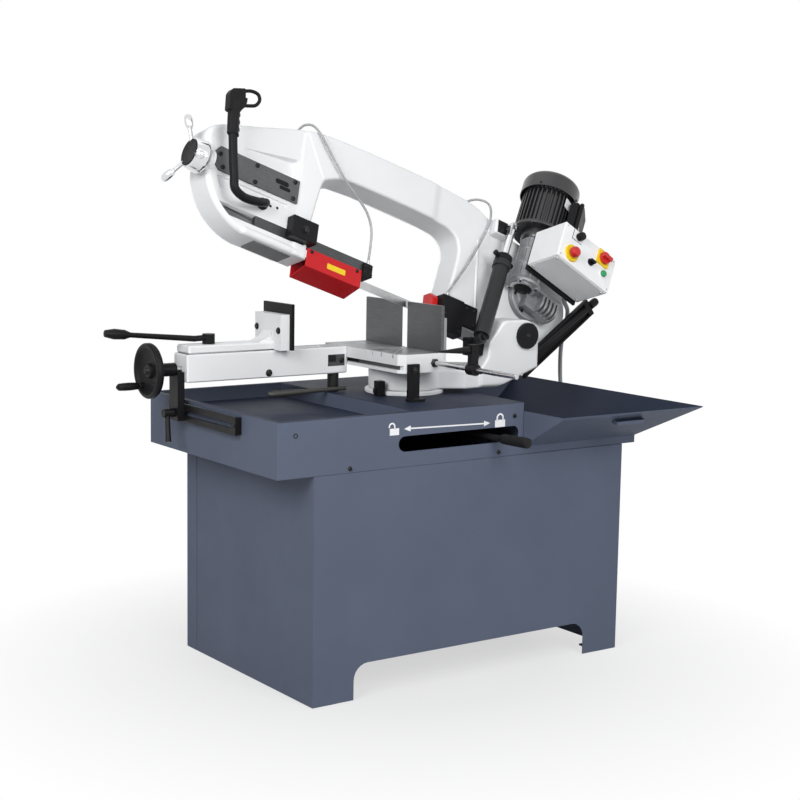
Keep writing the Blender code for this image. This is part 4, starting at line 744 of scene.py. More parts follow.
BOW_HALF, RAISED, WHEEL_T, IDLER_S, DRIVE_S = 0.046, 0.006, 0.17, 1.05, -0.085
COVER_BACK, PLATE_FACE = -0.0503, BOW_HALF + 0.008
STEP_0, STEP_1 = 0.898, 0.904


def soft_step(x):
    x = min(max(x, 0.0), 1.0)
    return x * x * (3 - 2 * x)


def bow_face(p):
    if p.x < 0.6:
        rise = soft_step((p.x - 0.33) / 0.04)
    else:
        rise = 1 - min(max((p.x - STEP_0) / (STEP_1 - STEP_0), 0), 1)
    return BOW_HALF + RAISED * rise


idler_end = [Vector(p) for p in arc(IDLER_S, WHEEL_T + 0.003, 0.191, -95, 5, 44)]
drive_end = [Vector(p) for p in arc(DRIVE_S, WHEEL_T, 0.194, 78, 270, 70)]
top_edge = [(1.256, 0.245), (1.246, 0.276), (1.21, 0.302), (1.063, 0.354), (0.905, 0.407), (0.8, 0.424),
    (0.33, 0.437), (0.18, 0.426), (0.12, 0.404), (0.06, 0.38)]
window = [(0.262, 0.064), (0.238, 0.194), (0.234, 0.24), (0.247, 0.276), (0.28, 0.298), (0.34, 0.305),
    (0.64, 0.304), (0.74, 0.296), (0.792, 0.276), (0.812, 0.262), (0.838, 0.132), (0.845, 0.09),
    (0.845, -0.018)]
bow_edge = idler_end[:-3] + curve_through(idler_end[-3:] + top_edge + drive_end[:3]) + drive_end[3:]
bow_edge += straight((DRIVE_S, -0.024), (0.187, -0.024)) + straight((0.187, -0.024), (0.187, 0.06))
bow_edge += straight((0.187, 0.06), (0.262, 0.064)) + curve_through(window)[1:]
bow_edge += straight((0.845, -0.018), idler_end[0])[:-1]

cast_bow = bmesh.new()
round_r = [0.01 + 0.006 * soft_step((p.x - 0.95) / 0.2) for p in bow_edge]
back_edge = [cast_bow.verts.new((p.x, -BOW_HALF, p.y)) for p in bow_edge]
before = back_edge
for k in range(8):
    turn = radians(90 * k / 7)
    loop = inset(bow_edge, [r * (1 - cos(turn)) for r in round_r])
    ring = [cast_bow.verts.new((p.x, bow_face(p) - r * (1 - sin(turn)), p.y))
        for p, r in zip(loop, round_r)]
    strip(cast_bow, before, ring)
    before = ring
flat_edge = loop
scoop = eased_corners([(1.125, 0.254), (0.915, 0.298), (0.91, 0.262), (0.91, 0.227), (1.1, 0.227)], 0.01)
pocket = eased_corners([(1.205, 0.136), (0.935, 0.136), (0.935, 0.122), (1.06, 0.122), (1.1, 0.105),
    (1.185, 0.096)], 0.005)
BED_LOW, BED_TOP, BED_FLOOR = 0.0212, 0.0568, 0.029
bar_bed = eased_corners([(1.185, BED_TOP), (STEP_1, BED_TOP), (STEP_0, BED_TOP), (0.858, BED_TOP),
    (0.858, BED_LOW), (STEP_0, BED_LOW), (STEP_1, BED_LOW), (1.146, BED_LOW)], 0.005)
soft_walls = ((0.0, 0.0), (0.0012, 0.03), (0.003, 0.18), (0.0048, 0.55), (0.0066, 0.86), (0.0086, 0.97),
    (0.0105, 1.0))
firm_walls = ((0.0, 0.0), (0.0008, 0.02), (0.0018, 0.1), (0.0026, 0.5), (0.0034, 0.9), (0.0044, 1.0))
SCOOP_TIP, SCOOP_DEEP = 1.125, 0.021


def scoop_floor(p):
    return bow_face(p) - SCOOP_DEEP * min(max((SCOOP_TIP - p.x) / 0.19, 0.0), 1.0)


for hollow, floor_at, walls in ((scoop, scoop_floor, soft_walls), (pocket, lambda p: 0.039, firm_walls),
        (bar_bed, lambda p: BED_FLOOR, firm_walls)):
    tapers = [min(max((SCOOP_TIP - p.x) / 0.1, 0.06), 1.0) if hollow is scoop else 1.0 for p in hollow]
    before = None
    for depth, share in walls:
        loop = inset(hollow, [depth * taper for taper in tapers])
        ring = [cast_bow.verts.new((p.x, bow_face(q) + share * (floor_at(p) - bow_face(q)), p.y))
            for p, q in zip(loop, hollow)]
        if before:
            strip(cast_bow, before, ring)
        before = ring
    skin(cast_bow, loop, [], [], floor_at)


def nearest(loop, s, t):
    return min(range(len(loop)), key=lambda i: (loop[i] - Vector((s, t))).length)


folds, first_bed = [], len(flat_edge) + len(scoop) + len(pocket)
for s in (STEP_0, STEP_1):
    folds += [(nearest(flat_edge, s, 0.39), first_bed + nearest(bar_bed, s, BED_TOP)),
        (nearest(flat_edge, s, -0.006), first_bed + nearest(bar_bed, s, BED_LOW))]
for s in (0.33, 0.34, 0.35, 0.36, 0.37):
    folds.append((nearest(flat_edge, s, 0.425), nearest(flat_edge, s, 0.318)))
skin(cast_bow, flat_edge, [scoop, pocket, bar_bed], folds, bow_face)
skin(cast_bow, bow_edge, [], [], lambda p: -BOW_HALF)
bmesh.ops.remove_doubles(cast_bow, verts=cast_bow.verts, dist=0.00001)
bmesh.ops.delete(cast_bow, geom=[v for v in cast_bow.verts if not v.link_faces], context="VERTS")
bmesh.ops.recalc_face_normals(cast_bow, faces=cast_bow.faces)
pin_mid = 0.0315 * Vector((0, sin(BOW_LEAN), cos(BOW_LEAN)))
to_back = Vector((0, -cos(BOW_LEAN), sin(BOW_LEAN)))
ridge_r, bead_r = 0.0145, 0.006


def capsule(p, q, r):
    """A bar with round ends, as a cast bead."""
    p, q = Vector(p), Vector(q)
    long = (q - p).length
    ends = [(r * cos(a), r * sin(a)) for a in (radians(9 * k) for k in range(11))]
    return turned([(0, -r)] + [(x, -z) for x, z in ends[:-1]][::-1] + [(x, long + z) for x, z in ends[:-1]]
        + [(0, long + r)], p, q - p, 28)


bow_casting = piece("bow_casting",
    [cast_bow, bar(pin_mid - (AY - 0.338) * to_back, pin_mid - (AY - 0.375) * to_back, 0.05, n=64),
    turned([(0, 0), (0.034, 0), (0.031, 0.006), (0.029, 0.01), (0.029, 0.0275), (0.0275, 0.029),
    (0, 0.029)], (1.225, 0.035, WHEEL_T), TO_X), capsule((0.88, 0.0385, -0.0035), (1.075, 0.0385, -0.003),
    ridge_r), capsule((0.153, 0.0435, 0.3), (0.133, 0.0435, -0.01), bead_r)], BOW, white, "bow",
    stands_for=("bow_frame",), sharp=48)
even_light = bow_casting.modifiers.new("Even faces", "WEIGHTED_NORMAL")
even_light.keep_sharp, even_light.weight = True, 100
piece("bow_rod_lug", [block(0.03, 0.11, 0.04, 0.083, 0.342, 0.396)], BOW, white, "bow",
    0.007, 4)
piece("bow_lug_cap", [block(0.042, 0.102, 0.0825, 0.0858, 0.346, 0.39)], BOW, black, "bow", edge=0.001)
# Painted shade: thin black slabs on the window's end walls stand for the dark slots where the blade runs into
# the casting.
piece("blade_slot_shade", [block(0.8435, 0.8462, -0.03, 0.028, -0.0112, 0.026), block(0.1858, 0.1878, -0.03, 0.0,
    -0.0155, 0.034)], BOW, moulded, "bow")
# A dark steel grey: the guide bar's seat, bare steel with painted shade of its recess, and painted shade on
# the bow's underside.
bed_steel_and_shade = finish("bar_bed_steel_and_shade", (0.145, 0.147, 0.15), 0.42, 0.4, mottle=(16.0, 0.12),
    grain=(700.0, 0.12))
# Painted shade: a thin dark plate on the casting's bottom face at the idler end.
piece("bow_underside_shade", [block(0.89, 1.03, -0.04, 0.03, -0.0205, -0.0165)], BOW, bed_steel_and_shade, "bow", edge=0.001)
# The recess floor under the guide bar: bare seat steel, darkened further as painted shade of the recess.
bed_floor = inset(bar_bed, [0.0046] * len(bar_bed))
piece("bar_bed_plate", [prism([tuple(p) for p in bed_floor], "y", BED_FLOOR - 0.0005, BED_FLOOR + 0.0011)],
    BOW, bed_steel_and_shade, "bow")
screws("bow_face_screws", [(0.998, 0.0455, 0.106), (0.973, 0.0455, 0.109)], TO_Y, 0.0045, BOW, "bow")
sheet_white = finish("white_sheet_coat", (0.85, 0.86, 0.87), 0.38, mottle=(5.0, 0.03), grain=(800.0, 0.08))
dress("rear_cover", sheet_white, 0.0012)
cover_spots = ((1.205, 0.17), (1.05, 0.01), (1.02, 0.345), (0.6, 0.37), (0.12, 0.385), (-0.255, 0.17),
    (-0.085, -0.01))
screws("rear_cover_screws", [(s, COVER_BACK, t) for s, t in cover_spots], FROM_Y, 0.006, BOW, "bow")


# Band wheels and blade: cast iron wheels inside the housings, and a welded bi-metal band about them.
# The band is ground bright, with raked teeth, and twisted upright between the guides.
wheel_iron = finish("wheel_iron", (0.085, 0.087, 0.09), 0.42, 0.6, mottle=(14.0, 0.12), grain=(600.0, 0.12))
dress("idler_wheel drive_wheel", wheel_iron, 0.001)
dress("tension_carriage", drawn_steel, 0.001)
BAND_HALF, BAND_THICK, BAND_R, SPAN = 0.0135, 0.0009, 0.17075, IDLER_S - DRIVE_S
TOOTH, GULLET = 0.0064, 0.0024
turn_way, band_long = pi * BAND_R, 2 * (SPAN + pi * BAND_R)
count = 3 * round(band_long / TOOTH)
band = bmesh.new()
rings = []
for i in range(count):
    d = band_long * i / count
    psi, thick = 0.0, None
    if d < turn_way or turn_way + SPAN <= d < 2 * turn_way + SPAN:
        first = d < turn_way
        a = d / BAND_R - pi / 2 if first else (d - turn_way - SPAN) / BAND_R + pi / 2
        mid = Vector((IDLER_S if first else DRIVE_S, 0, WHEEL_T)) + BAND_R * Vector((cos(a), 0, sin(a)))
        thick = Vector((cos(a), 0, sin(a)))
    elif d < turn_way + SPAN:
        mid, thick = Vector((IDLER_S - (d - turn_way), 0, WHEEL_T + BAND_R)), Vector(TO_Z)
    else:
        mid = Vector((DRIVE_S + d - 2 * turn_way - SPAN, 0, WHEEL_T - BAND_R))
        psi = (pi / 2 - BOW_LEAN) * min(soft_step((mid.x + 0.05) / 0.22), soft_step((0.98 - mid.x) / 0.28))
        thick = Vector((0, sin(psi), -cos(psi)))
    across = Vector((0, -cos(psi), -sin(psi)))
    tip = BAND_HALF - (0, GULLET, 0.6 * GULLET)[i % 3]
    rings.append([band.verts.new(mid + a * across + b * BAND_THICK / 2 * thick)
        for a, b in ((tip, 1), (tip, -1), (-BAND_HALF, -1), (-BAND_HALF, 1))])
for i, ring in enumerate(rings):
    for k in range(4):
        band.faces.new((rings[i - 1][k - 1], rings[i - 1][k], ring[k], ring[k - 1]))
bmesh.ops.recalc_face_normals(band, faces=band.faces)
piece("toothed_band", [band], BOW, ground("band_steel", (0.5, 0.51, 0.52), 0.24, (60.0, 900.0, 900.0),
    contrast=0.2), "bow", stands_for=("saw_blade",))


# Blade tension: a dark plate closes the idler's slide, and a chromed hub with three spokes turns the screw.
# Six cap screws hold the plate, and a small window shows the tension pointer.
plate_grey = ground("tension_plate_steel", (0.1, 0.102, 0.106), 0.4, (30.0, 600.0, 600.0), 0.6)
dress("tension_plate", plate_grey, 0.0012)
plate_spots = ((1.205, 0.198), (1.19, 0.159), (1.07, 0.213), (1.07, 0.157), (0.925, 0.213), (0.925, 0.157))
screws("tension_plate_screws", [(s, PLATE_FACE, t) for s, t in plate_spots], TO_Y, 0.0075, BOW, "bow")
piece("tension_window", [prism(arc(0.99, 0.193, 0.008, -90, 90, 10) + arc(0.955, 0.193, 0.008, 90, 270, 10),
    "y", PLATE_FACE - 0.001, PLATE_FACE + 0.0004),
    prism(arc(0.975, 0.177, 0.006, -90, 90, 10) + arc(0.945, 0.177, 0.006, 90, 270, 10), "y",
    PLATE_FACE - 0.001, PLATE_FACE + 0.0005)], BOW, moulded, "bow")
HUB = Vector((1.2543, 0.035, WHEEL_T))
hub_shapes = [turned([(0, 0), (0.03, 0), (0.03, -0.01), (0.04, -0.01), (0.046, -0.004), (0.0512, 0.001),
    (0.0528, 0.006), (0.0524, 0.012), (0.05, 0.026), (0.0476, 0.04), (0.0468, 0.0435), (0.0445, 0.046),
    (0, 0.046)], HUB, TO_X, 88), bar(HUB + Vector((0.008, 0, 0)), HUB - Vector((0.1385, 0, 0)), 0.007)]
for turn in (5, 125, 245):
    a = radians(turn)
    way = Vector((0.3, -sin(a), cos(a))).normalized()
    root = HUB + Vector((0.0297, 0, 0))
    hub_shapes += [bar(root, root + 0.085 * way, 0.0065),
        turned([(0, 0), (0.0066, 0), (0.0095, 0.004), (0.0122, 0.012), (0.0132, 0.022), (0.013, 0.034),
        (0.0108, 0.042), (0.006, 0.0455), (0, 0.046)], root + 0.08 * way, way, 36)]
piece("tension_star_hub", hub_shapes, BOW, chrome, "tensioner", stands_for=("tension_hub",))
piece("tension_hub_disc",
    [turned([(0, 0.0012), (0.036, 0.0012), (0.0405, 0.002), (0.0425, 0.0012), (0.0425, -0.001),
    (0, -0.001)], HUB + Vector((0.046, 0, 0)), TO_X, 64)], BOW, moulded, "tensioner")


# Blade guides: a steel bar slides in the casting's recess under a clamp block and carries the moving guide.
# A bent red guard covers the free blade; the fixed guide and its red guard sit at the other side of the cut.
dress("guide_bar", ground("guide_bar_steel", (0.075, 0.077, 0.08), 0.36, (20.0, 700.0, 700.0), 0.7), 0.0012)
dress("moving_guide fixed_guide", black, 0.0015)
dress("guide_clamp", black, 0.002, 3)
red = finish("red_enamel", (0.52, 0.01, 0.014), 0.32, mottle=(6.0, 0.06), grain=(500.0, 0.06), coat=0.1,
    shine=0.25)
red_plastic = finish("red_plastic", (0.55, 0.014, 0.014), 0.32, mottle=(30.0, 0.05), grain=(900.0, 0.08))
dress("blade_guard", red, 0.0012)
dress("fixed_guard", red_plastic, 0.002, 3)
yellow = finish("yellow_plate", (0.8, 0.56, 0.01), 0.4, mottle=(40.0, 0.05), grain=(900.0, 0.05))
piece("guard_bare_plate",
    [prism(eased_corners([(0.69, -0.019), (0.762, -0.019), (0.762, -0.001), (0.69, -0.001)], 0.002, 3), "y",
    0.0496, 0.0507)], BOW, yellow, "guide")
screws("guard_screws", [(s, 0.05, 0.014) for s in (0.645, 0.826)], TO_Y, 0.006, BOW, "guide")
screws("guide_screws", [(s, 0.0555, t) for s in (0.597, 0.616) for t in (0.04, 0.02)], TO_Y, 0.0048, BOW,
    "guide")
piece("guide_clamp_bolts", hex_bolt((0.88, 0.082, 0.06), TO_Y, 0.0105), BOW, screw_black, "bow")
piece("fixed_guide_screws", [screw((s, 0.057, t), TO_Y, 0.0055) for s, t in ((0.148, -0.01), (0.148, 0.042),
    (0.18, 0.042))] + [screw((s, 0.0575, t), TO_Y, 0.005) for s, t in ((0.208, -0.052), (0.272, -0.052),
    (0.272, -0.006))], BOW, screw_black, "bow")


# Bow handle: a bent steel tube bolted to the casting, with a moulded pistol grip and a loop at its trigger.
# The grip's finger side is waved, and its skin is textured.
def lofted(shape, rings):
    """Skins rings one after the other and closes both ends."""
    for low, high in zip(rings, rings[1:]):
        strip(shape, low, high)
    shape.faces.new(rings[0][::-1])
    shape.faces.new(rings[-1])
    bmesh.ops.recalc_face_normals(shape, faces=shape.faces)
    return shape


def swept(points, radius, n=16):
    """A round tube along points, closed at both ends."""
    shape = bmesh.new()
    spots = [Vector(p) for p in points]
    last = len(spots) - 1
    ways = [(spots[min(i + 1, last)] - spots[max(i - 1, 0)]).normalized() for i in range(last + 1)]
    side, rings = ways[0].orthogonal().normalized(), []
    for p, way in zip(spots, ways):
        side = (side - side.dot(way) * way).normalized()
        other = way.cross(side)
        rings.append([shape.verts.new(p + radius * (cos(a) * side + sin(a) * other))
            for a in (2 * pi * k / n for k in range(n))])
    return lofted(shape, rings)


tube_route = curve_through([(1.03, BOW_HALF + 0.001, 0.1), (1.03, 0.068, 0.098), (1.066, 0.09, 0.08),
    (1.135, 0.106, 0.066), (1.172, 0.112, 0.078), (1.182, 0.113, 0.115), (1.196, 0.113, 0.18),
    (1.208, 0.113, 0.243)], 8)
piece("handle_tube", [swept(tube_route, 0.0135, 28),
    turned([(0, 0), (0.0185, 0), (0.019, 0.001), (0.019, 0.0075), (0.017, 0.009), (0, 0.009)],
    (1.03, BOW_HALF + 0.0003, 0.1), TO_Y, 40)], BOW, black, "bow",
    stands_for=("bow_handle",))
grip_foot, grip_way = Vector((1.2075, 0.113, 0.238)), Vector((0.113, 0, 1)).normalized()
grip = bmesh.new()
grip_long, grip_rings = 0.112, []
for i in range(41):
    h = grip_long * i / 40
    swell = 0.0188 + 0.0012 * sin(pi * i / 40)
    if i < 4:
        swell = 0.02 - 0.0008 * abs(i - 2)
    if i in (0, 40):
        swell -= 0.003
    ring = []
    for k in range(32):
        a = 2 * pi * k / 32
        c, s = cos(a), sin(a)
        waved = 0.0022 * cos(2 * pi * h / 0.024) if c < 0 and 0.012 < h < 0.096 else 0.0
        r = swell * (1 + 0.04 * cos(4 * a))
        ring.append(grip.verts.new(grip_foot + h * grip_way + Vector((c * (r + waved * c * c), 0.82 * r * s,
            0))))
    grip_rings.append(ring)
grip_top = Vector((1.208, 0.113, 0.243)) + 0.118 * grip_way
head = prism(eased_corners([(0.02, -0.05), (0.025, 0.004), (0.017, 0.021), (-0.027, 0.039), (-0.036, -0.02),
    (-0.024, -0.036), (-0.018, -0.05)], 0.006, 4), "y", -0.0125, 0.0125)
head.transform(Matrix.Translation(grip_top))
loop_route = curve_through([grip_top + Vector((s, 0, t)) for s, t in ((-0.02, 0.03), (-0.056, 0.046),
    (-0.08, 0.045), (-0.088, 0.03), (-0.078, 0.008), (-0.056, -0.004), (-0.028, -0.014))], 7)
piece("handle_grip", [lofted(grip, grip_rings), head, swept(loop_route, 0.0055, 20)], BOW, moulded, "bow",
    0.0008)
dress("trigger", moulded, 0.001)


# Gearbox and motor: a ribbed alloy worm box on the drive housing's face, with a finned black motor on it.
# Cap screws hold the worm's bearing cap and the motor flange; a pressed cowl covers the fan.
GEAR_TURN = radians(13.0)
gear_zero = Matrix(((-cos(GEAR_TURN), 0, -sin(GEAR_TURN)), FROM_Y,
    (-sin(GEAR_TURN), 0, cos(GEAR_TURN)))).transposed().to_4x4()
gear_zero.translation = (-0.017, 0, 0.173)
GEAR = BOW @ gear_zero
hub_at = gear_zero.inverted() @ Vector((DRIVE_S, 0, WHEEL_T))
WORM_Y, WORM_LONG, WORM_FLANGE, MOTOR_R, MOTOR_LONG = -0.105, 0.213, 0.058, 0.09, 0.17
alloy = finish("cast_alloy", (0.28, 0.29, 0.3), 0.46, 0.6, mottle=(30.0, 0.22), grain=(420.0, 0.3))


def about_worm(turn):
    return Matrix.Translation((0, WORM_Y, 0)) @ Matrix.Rotation(radians(turn), 4, "Z")


def ring_of(n, r, start):
    return [(r * cos(a), r * sin(a)) for a in (start + 2 * pi * k / n for k in range(n))]


CASE_BACK, CASE_FRONT, CASE_R, WORM_R = -0.0463, -0.066, 0.082, 0.05
case_deep = CASE_BACK - CASE_FRONT
case = [turned([(0, 0), (CASE_R, 0), (CASE_R, case_deep - 0.006), (CASE_R - 0.003, case_deep - 0.0015),
    (CASE_R - 0.007, case_deep), (0.056, case_deep), (0.054, case_deep + 0.004), (0.05, case_deep + 0.005),
    (0, case_deep + 0.005)], (hub_at.x, CASE_BACK, hub_at.z), FROM_Y, 88),
    turned([(0, 0), (0.056, 0), (0.058, 0.002), (0.058, 0.011), (0.056, 0.013), (0.053, 0.016),
    (WORM_R, 0.024), (WORM_R, 0.07), (0.053, 0.073), (0.053, 0.08), (WORM_R, 0.083), (WORM_R, 0.128),
    (0.053, 0.131), (0.053, 0.138), (WORM_R, 0.141), (WORM_R, 0.186), (0.054, 0.197), (0.056, 0.2007),
    (WORM_FLANGE, 0.2027), (WORM_FLANGE, 0.2107), (0.056, 0.2127), (0, 0.2127)], (0, WORM_Y, 0), TO_Z, 72)]
case += [block(-0.042, 0.056, WORM_Y, CASE_BACK, 0.01, 0.09), block(0.03, 0.156, -0.099, -0.062, -0.046,
    0.03), block(0.03, 0.156, -0.13, -0.098, 0.012, 0.03)]
rib_side = [(-0.098, 0.013), (-0.098, -0.046)] + arc(-0.098, -0.012, 0.032, 270, 180,
    8)[1:] + [(-0.13, 0.013)]
case += [prism(rib_side, "x", x, x + 0.0085) for x in (0.0775, 0.0955, 0.1135, 0.1315, 0.1475)]
for turn in range(8):
    rib = block(WORM_R - 0.004, 0.0535, -0.0022, 0.0022, 0.014, 0.196)
    rib.transform(about_worm(45 * turn + 22))
    case.append(rib)
piece("gear_case", case, GEAR, alloy, "bow", 0.0012, stands_for=("gearbox",))
piece("gearbox_screws", [screw((x, WORM_Y + y, -0.0035), FROM_Z, 0.0048) for x, y in ring_of(4, 0.0475,
    0.6)] + [screw((hub_at.x + x, CASE_FRONT, hub_at.z + z), FROM_Y, 0.0052) for x, z in ring_of(6, 0.066,
    0.3)], GEAR, screw_black, "bow")
piece("worm_bearing_cap",
    [turned([(0, 0.003), (0.026, 0.003), (0.031, 0.001), (0.032, -0.002), (0, -0.002)], (0, WORM_Y, 0.0),
    FROM_Z, 48)], GEAR, black, "bow")
worm_ears = [turned([(0.0322, 0), (0.0322, 0.0035), (0.0435, 0.0035), (0.0445, 0.0025), (0.0445, 0)],
    (0, WORM_Y, 0.0), FROM_Z, 56)]
worm_ears += [turned([(0, 0.0035), (0.0095, 0.0035), (0.0105, 0.0025), (0.0105, 0), (0, 0)],
    (x, WORM_Y + y, 0.0), FROM_Z, 28) for x, y in ring_of(4, 0.0475, 0.6)]
piece("worm_cap_ears", worm_ears, GEAR, drawn_steel, "bow")
piece("oil_plug", [turned([(0, 0.007), (0.0075, 0.007), (0.0088, 0.0055), (0.0088, -0.001), (0, -0.001)],
    (0.046, CASE_FRONT, -0.047), FROM_Y, 6)], GEAR, screw_black, "bow")
fins, FIN_N, ROOT_R = [], 34, MOTOR_R - 0.011
for i in range(FIN_N):
    for share, r in ((0.0, MOTOR_R), (0.26, MOTOR_R), (0.36, ROOT_R), (0.9, ROOT_R)):
        a = 2 * pi * (i + share) / FIN_N
        fins.append((r * cos(a), WORM_Y + r * sin(a)))
motor_top = WORM_LONG + MOTOR_LONG
NECK_R, NECK_DOWN = WORM_FLANGE + 0.0006, 0.034
motor_black = finish("motor_enamel", (0.016, 0.016, 0.018), 0.3, mottle=(10.0, 0.12), grain=(500.0, 0.1),
    coat=0.3)
piece("motor_frame", [prism(fins, "z", WORM_LONG + 0.01, motor_top - 0.01),
    turned([(0, 0), (0.091, 0), (0.093, 0.002), (0.093, 0.012), (0.091, 0.014), (0, 0.014)],
    (0, WORM_Y, WORM_LONG), TO_Z, 80), turned([(0, -0.014), (0.085, -0.014), (0.087, -0.012), (0.087, 0),
    (0, 0)], (0, WORM_Y, motor_top), TO_Z, 80)], GEAR, motor_black, "bow", 0.0008,
    stands_for=("motor",))
piece("motor_neck", [turned([(0.0504, -NECK_DOWN), (0.053, -NECK_DOWN), (0.0545, -NECK_DOWN + 0.002),
    (NECK_R, -0.014), (NECK_R, -0.0002), (0.0504, -0.0002)], (0, WORM_Y, WORM_LONG), TO_Z, 64)], GEAR,
    motor_black, "bow")
COWL_R, COWL_LONG, COWL_ROUND = 0.102, 0.052, 0.022
cowl = [(0, COWL_LONG - 0.004), (COWL_R - 0.024, COWL_LONG - 0.004), (COWL_R - 0.009, COWL_LONG - 0.01),
    (COWL_R - 0.003, 0.028), (COWL_R - 0.003, -0.018), (COWL_R - 0.0015, -0.0185), (COWL_R, -0.017)]
cowl += arc(COWL_R - COWL_ROUND, COWL_LONG - COWL_ROUND, COWL_ROUND, 0, 90, 10)
for r in (0.066, 0.057, 0.048, 0.039, 0.03):
    cowl += [(r, COWL_LONG), (r - 0.0004, COWL_LONG - 0.003), (r - 0.0042, COWL_LONG - 0.003),
        (r - 0.0046, COWL_LONG)]
cowl.append((0, COWL_LONG))
piece("fan_cover", [turned(cowl, (0, WORM_Y, motor_top + 0.0003), TO_Z, 88)], GEAR, motor_black, "bow",
    stands_for=("fan_cowl",))
piece("fan_cover_screws", [screw((COWL_R * cos(a), WORM_Y + COWL_R * sin(a), motor_top - 0.008),
    (cos(a), sin(a), 0), 0.0045) for a in (0.5, 2.07, 3.64, 5.21)], GEAR, screw_black, "bow")
BOX = GEAR @ about_worm(-50)
box_low, box_high = WORM_LONG + 0.022, motor_top - 0.035
piece("motor_terminal_box", [block(MOTOR_R + 0.0003, MOTOR_R + 0.032, -0.0515, 0.0515, box_low, box_high)],
    BOX, moulded, "bow", 0.007, 4, stands_for=("terminal_box",))
piece("terminal_box_lid", [block(MOTOR_R + 0.0325, MOTOR_R + 0.048, -0.052, 0.052, box_low - 0.0005,
    box_high + 0.0005)], BOX, moulded, "bow", 0.007, 4)
piece("terminal_lid_screws", [screw((MOTOR_R + 0.048, y, z), TO_X, 0.0035) for y in (-0.04, 0.04)
    for z in (box_low + 0.01, box_high - 0.01)], BOX, drawn_steel, "bow")
piece("motor_bare_plate", [block(MOTOR_R - 0.001, MOTOR_R + 0.0012, -0.026, 0.026, WORM_LONG + 0.105,
    WORM_LONG + 0.14)], GEAR @ about_worm(-72), sheet_white, "bow", edge=0.0005)


# Control box: a white folded box on a black plate, with switches let into its face.
# Each switch sits on its own ring or plate, and the box's underside is a screwed light grey lid.
dress("control_box", sheet_white, 0.003, 4)
dress("box_plate", black, 0.001)
FACE_Y = -0.311
light_grey = finish("light_grey_lid", (0.84, 0.85, 0.86), 0.45, mottle=(8.0, 0.05), grain=(800.0, 0.08))
piece("control_box_lid", [block(-0.05, 0.188, FACE_Y + 0.008, -0.172, 0.042, 0.044)], GEAR, light_grey,
    "bow", edge=0.0006)
piece("control_lid_screws", [screw((x, y, 0.042), FROM_Z, 0.004) for x in (-0.04, 0.178) for y in (-0.295,
    -0.182)] + [screw((x, FACE_Y, z), FROM_Y, 0.003) for x in (-0.047, 0.185) for z in (0.0546, 0.1676)],
    GEAR, drawn_steel, "bow")


def collar(x, z, r0, r1, high):
    """A switch's collar: a turned ring flat on the box's face."""
    return turned([(r0, -0.0005), (r1, -0.0005), (r1, 0.6 * high), (r1 - 0.25 * high, high), (r0, high)],
        (x, FACE_Y, z), FROM_Y, 48)


piece("estop_collar", [collar(-0.002, 0.082, 0.0115, 0.03, 0.006)], GEAR, yellow, "bow")
piece("main_switch_plate",
    [prism(eased_corners([(0.107, 0.12), (0.163, 0.12), (0.163, 0.176), (0.107, 0.176)], 0.006, 4), "y",
    FACE_Y + 0.0005, FACE_Y - 0.0062)], GEAR, yellow, "bow", edge=0.0012)
piece("switch_rings", [collar(0.0845, 0.1006, 0.009, 0.0148, 0.0024), collar(0.151, 0.096, 0.012, 0.0148,
    0.0035)], GEAR, sheet_white, "bow")
LINE = 0.0011
piece("feed_knob_mark", [prism([(-0.016 - LINE, 0.172), (-0.016 + LINE, 0.172),
    (-0.016 + LINE, 0.137 + LINE), (0.03, 0.137 + LINE), (0.03, 0.137 - LINE),
    (-0.016 - LINE, 0.137 - LINE)], "y", FACE_Y + 0.0005, FACE_Y - 0.0003)], GEAR, moulded, "bow")
green = finish("green_plastic", (0.01, 0.3, 0.1), 0.32, mottle=(40.0, 0.06), grain=(900.0, 0.06))
dress("estop", red_plastic, 0.0006)
dress("main_switch", red_plastic, 0.001)
dress("selector feed_knob", moulded, 0.0008)
dress("start_button", green, 0.0004)


# Hoses and conduit: clear coolant hoses to both blade guides, and a grey conduit from the control box.
# The hoses push on their nipples; the conduit hangs behind the arm and goes into the cabinet's side.
hose_pvc, tree, shader = blank("clear_hose")
cloud = node(tree, "Group", {"Mottle Scale": 30.0, "Grain Scale": 300.0}, node_tree=SKIN).outputs["Mottle"]
milk = node(tree, "Mix", {0: cloud, 6: (0.36, 0.37, 0.38, 1), 7: (0.52, 0.53, 0.54, 1)}, data_type="RGBA")
gloss = node(tree, "MapRange", {"Value": cloud, "To Min": 0.16, "To Max": 0.3})
feed(shader, {"IOR": 1.45, "Transmission Weight": 0.35, "Base Color": milk.outputs[2],
    "Roughness": gloss.outputs["Result"]})
HOSE_R, CONDUIT_R = 0.004, 0.0075
NIPPLE = [(0, 0), (0.0062, 0), (0.0062, 0.005), (0.0048, 0.007), (0.0048, 0.013), (0, 0.013)]
left_route = [(0.906, -0.005, 0.4085), (0.904, 0.0, 0.424), (0.896, 0.017, 0.4375), (0.882, 0.041, 0.435),
    (0.864, 0.059, 0.412), (0.838, 0.065, 0.38), (0.79, 0.066, 0.33), (0.735, 0.066, 0.28),
    (0.68, 0.066, 0.242), (0.641, 0.065, 0.208), (0.617, 0.062, 0.163), (0.608, 0.055, 0.105),
    (0.607, 0.0507, 0.0503)]
right_route = [(0.19, -0.01, 0.4275), (0.187, -0.004, 0.448), (0.165, 0.03, 0.458), (0.135, 0.056, 0.448),
    (0.121, 0.062, 0.415), (0.131, 0.062, 0.35), (0.191, 0.062, 0.215), (0.246, 0.055, 0.11),
    (0.262, 0.048, 0.0755), (0.264, 0.047, 0.0598)]


def hose(name, route, place, radius, material, solid, body, turns=None):
    """A hose or conduit along its route, swept as a round tube."""
    line = [place @ p for p in route]
    ob = show(name, solid_mesh(name, swept(line, radius), material, sharp=50), body, (solid,), turns)


def routed(points, steps):
    return curve_through(points, steps, even=0.0)


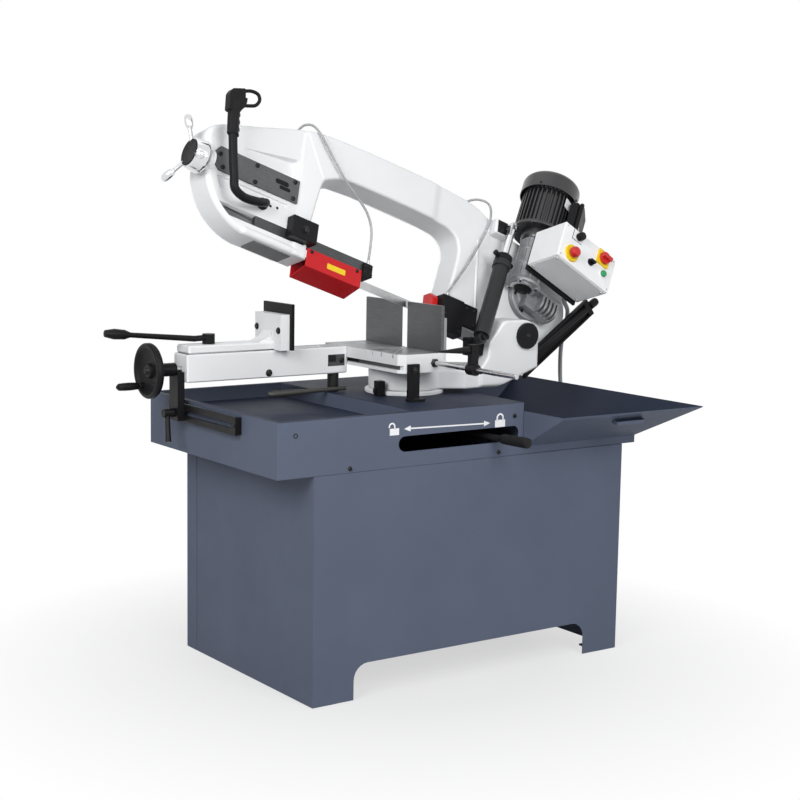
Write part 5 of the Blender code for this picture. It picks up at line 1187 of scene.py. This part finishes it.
hose("left_coolant_hose", routed(left_route, 8), BOW, HOSE_R, hose_pvc, "left_hose",
    ("bow", "guide"), (BOW @ Vector((0.84, 0.062, 0.38)), BOW @ Vector((0.612, 0.06, 0.15))))
hose("right_coolant_hose", routed(right_route, 8), BOW, HOSE_R, hose_pvc, "right_hose", "bow")
piece("hose_nipples", [turned(NIPPLE, at, way, 28)
    for at, way in (((0.906, -0.005, 0.407), (-0.15, 0.2, 1)), ((0.19, -0.01, 0.426), (-0.1, 0.2, 1)),
    ((0.264, 0.047, 0.059), (-0.05, 0.02, 1)))], BOW, drawn_steel, "bow")
piece("guide_hose_nipple", [turned(NIPPLE, (0.607, 0.0507, 0.0498), TO_Z, 28)], BOW, drawn_steel, "guide")
conduit_grey = finish("conduit_grey", (0.3, 0.31, 0.32), 0.5, mottle=(30.0, 0.08), grain=(600.0, 0.18))
leave = bow_zero @ gear_zero @ Matrix.Translation((0.17, -0.1347, 0.056))
conduit_route = [leave.translation] + routed([leave @ Vector((0, 0.012, 0)), (1.265, 0.37, 1.138),
    (1.301, 0.398, 1.11), (1.33, 0.436, 1.07), (1.35, 0.476, 1.015), (1.37, 0.508, 0.95),
    (1.392, 0.533, 0.88), (1.41, 0.549, 0.807), (1.411, 0.557, 0.733), (1.384, 0.561, 0.655),
    (1.325, 0.5605, 0.59), (1.262, 0.56, 0.563), (1.224, 0.56, 0.56)], 8) + [Vector((1.2123, 0.56, 0.56))]
split = min(range(len(conduit_route)),
    key=lambda i: (conduit_route[i] - Vector((1.392, 0.533, 0.88))).length)
hose("conduit_upper", conduit_route[:split + 1], CORNER, CONDUIT_R, conduit_grey, "conduit",
    ("bow", "swivel"), (CORNER @ conduit_route[2], CORNER @ conduit_route[split - 4]))
hose("conduit_lower", conduit_route[split:][::-1], CORNER, CONDUIT_R, conduit_grey,
    "conduit", ("base", "swivel"), (CORNER @ conduit_route[-5], CORNER @ conduit_route[split + 4]))
piece("conduit_wall_gland",
    [turned([(0.0076, 0.024), (0.01, 0.023), (0.012, 0.014), (0.012, 0.006), (0.017, 0.005), (0.017, 0),
    (0.0076, 0)], (1.2121, 0.56, 0.56), TO_X, 36)], CORNER, moulded, "base")
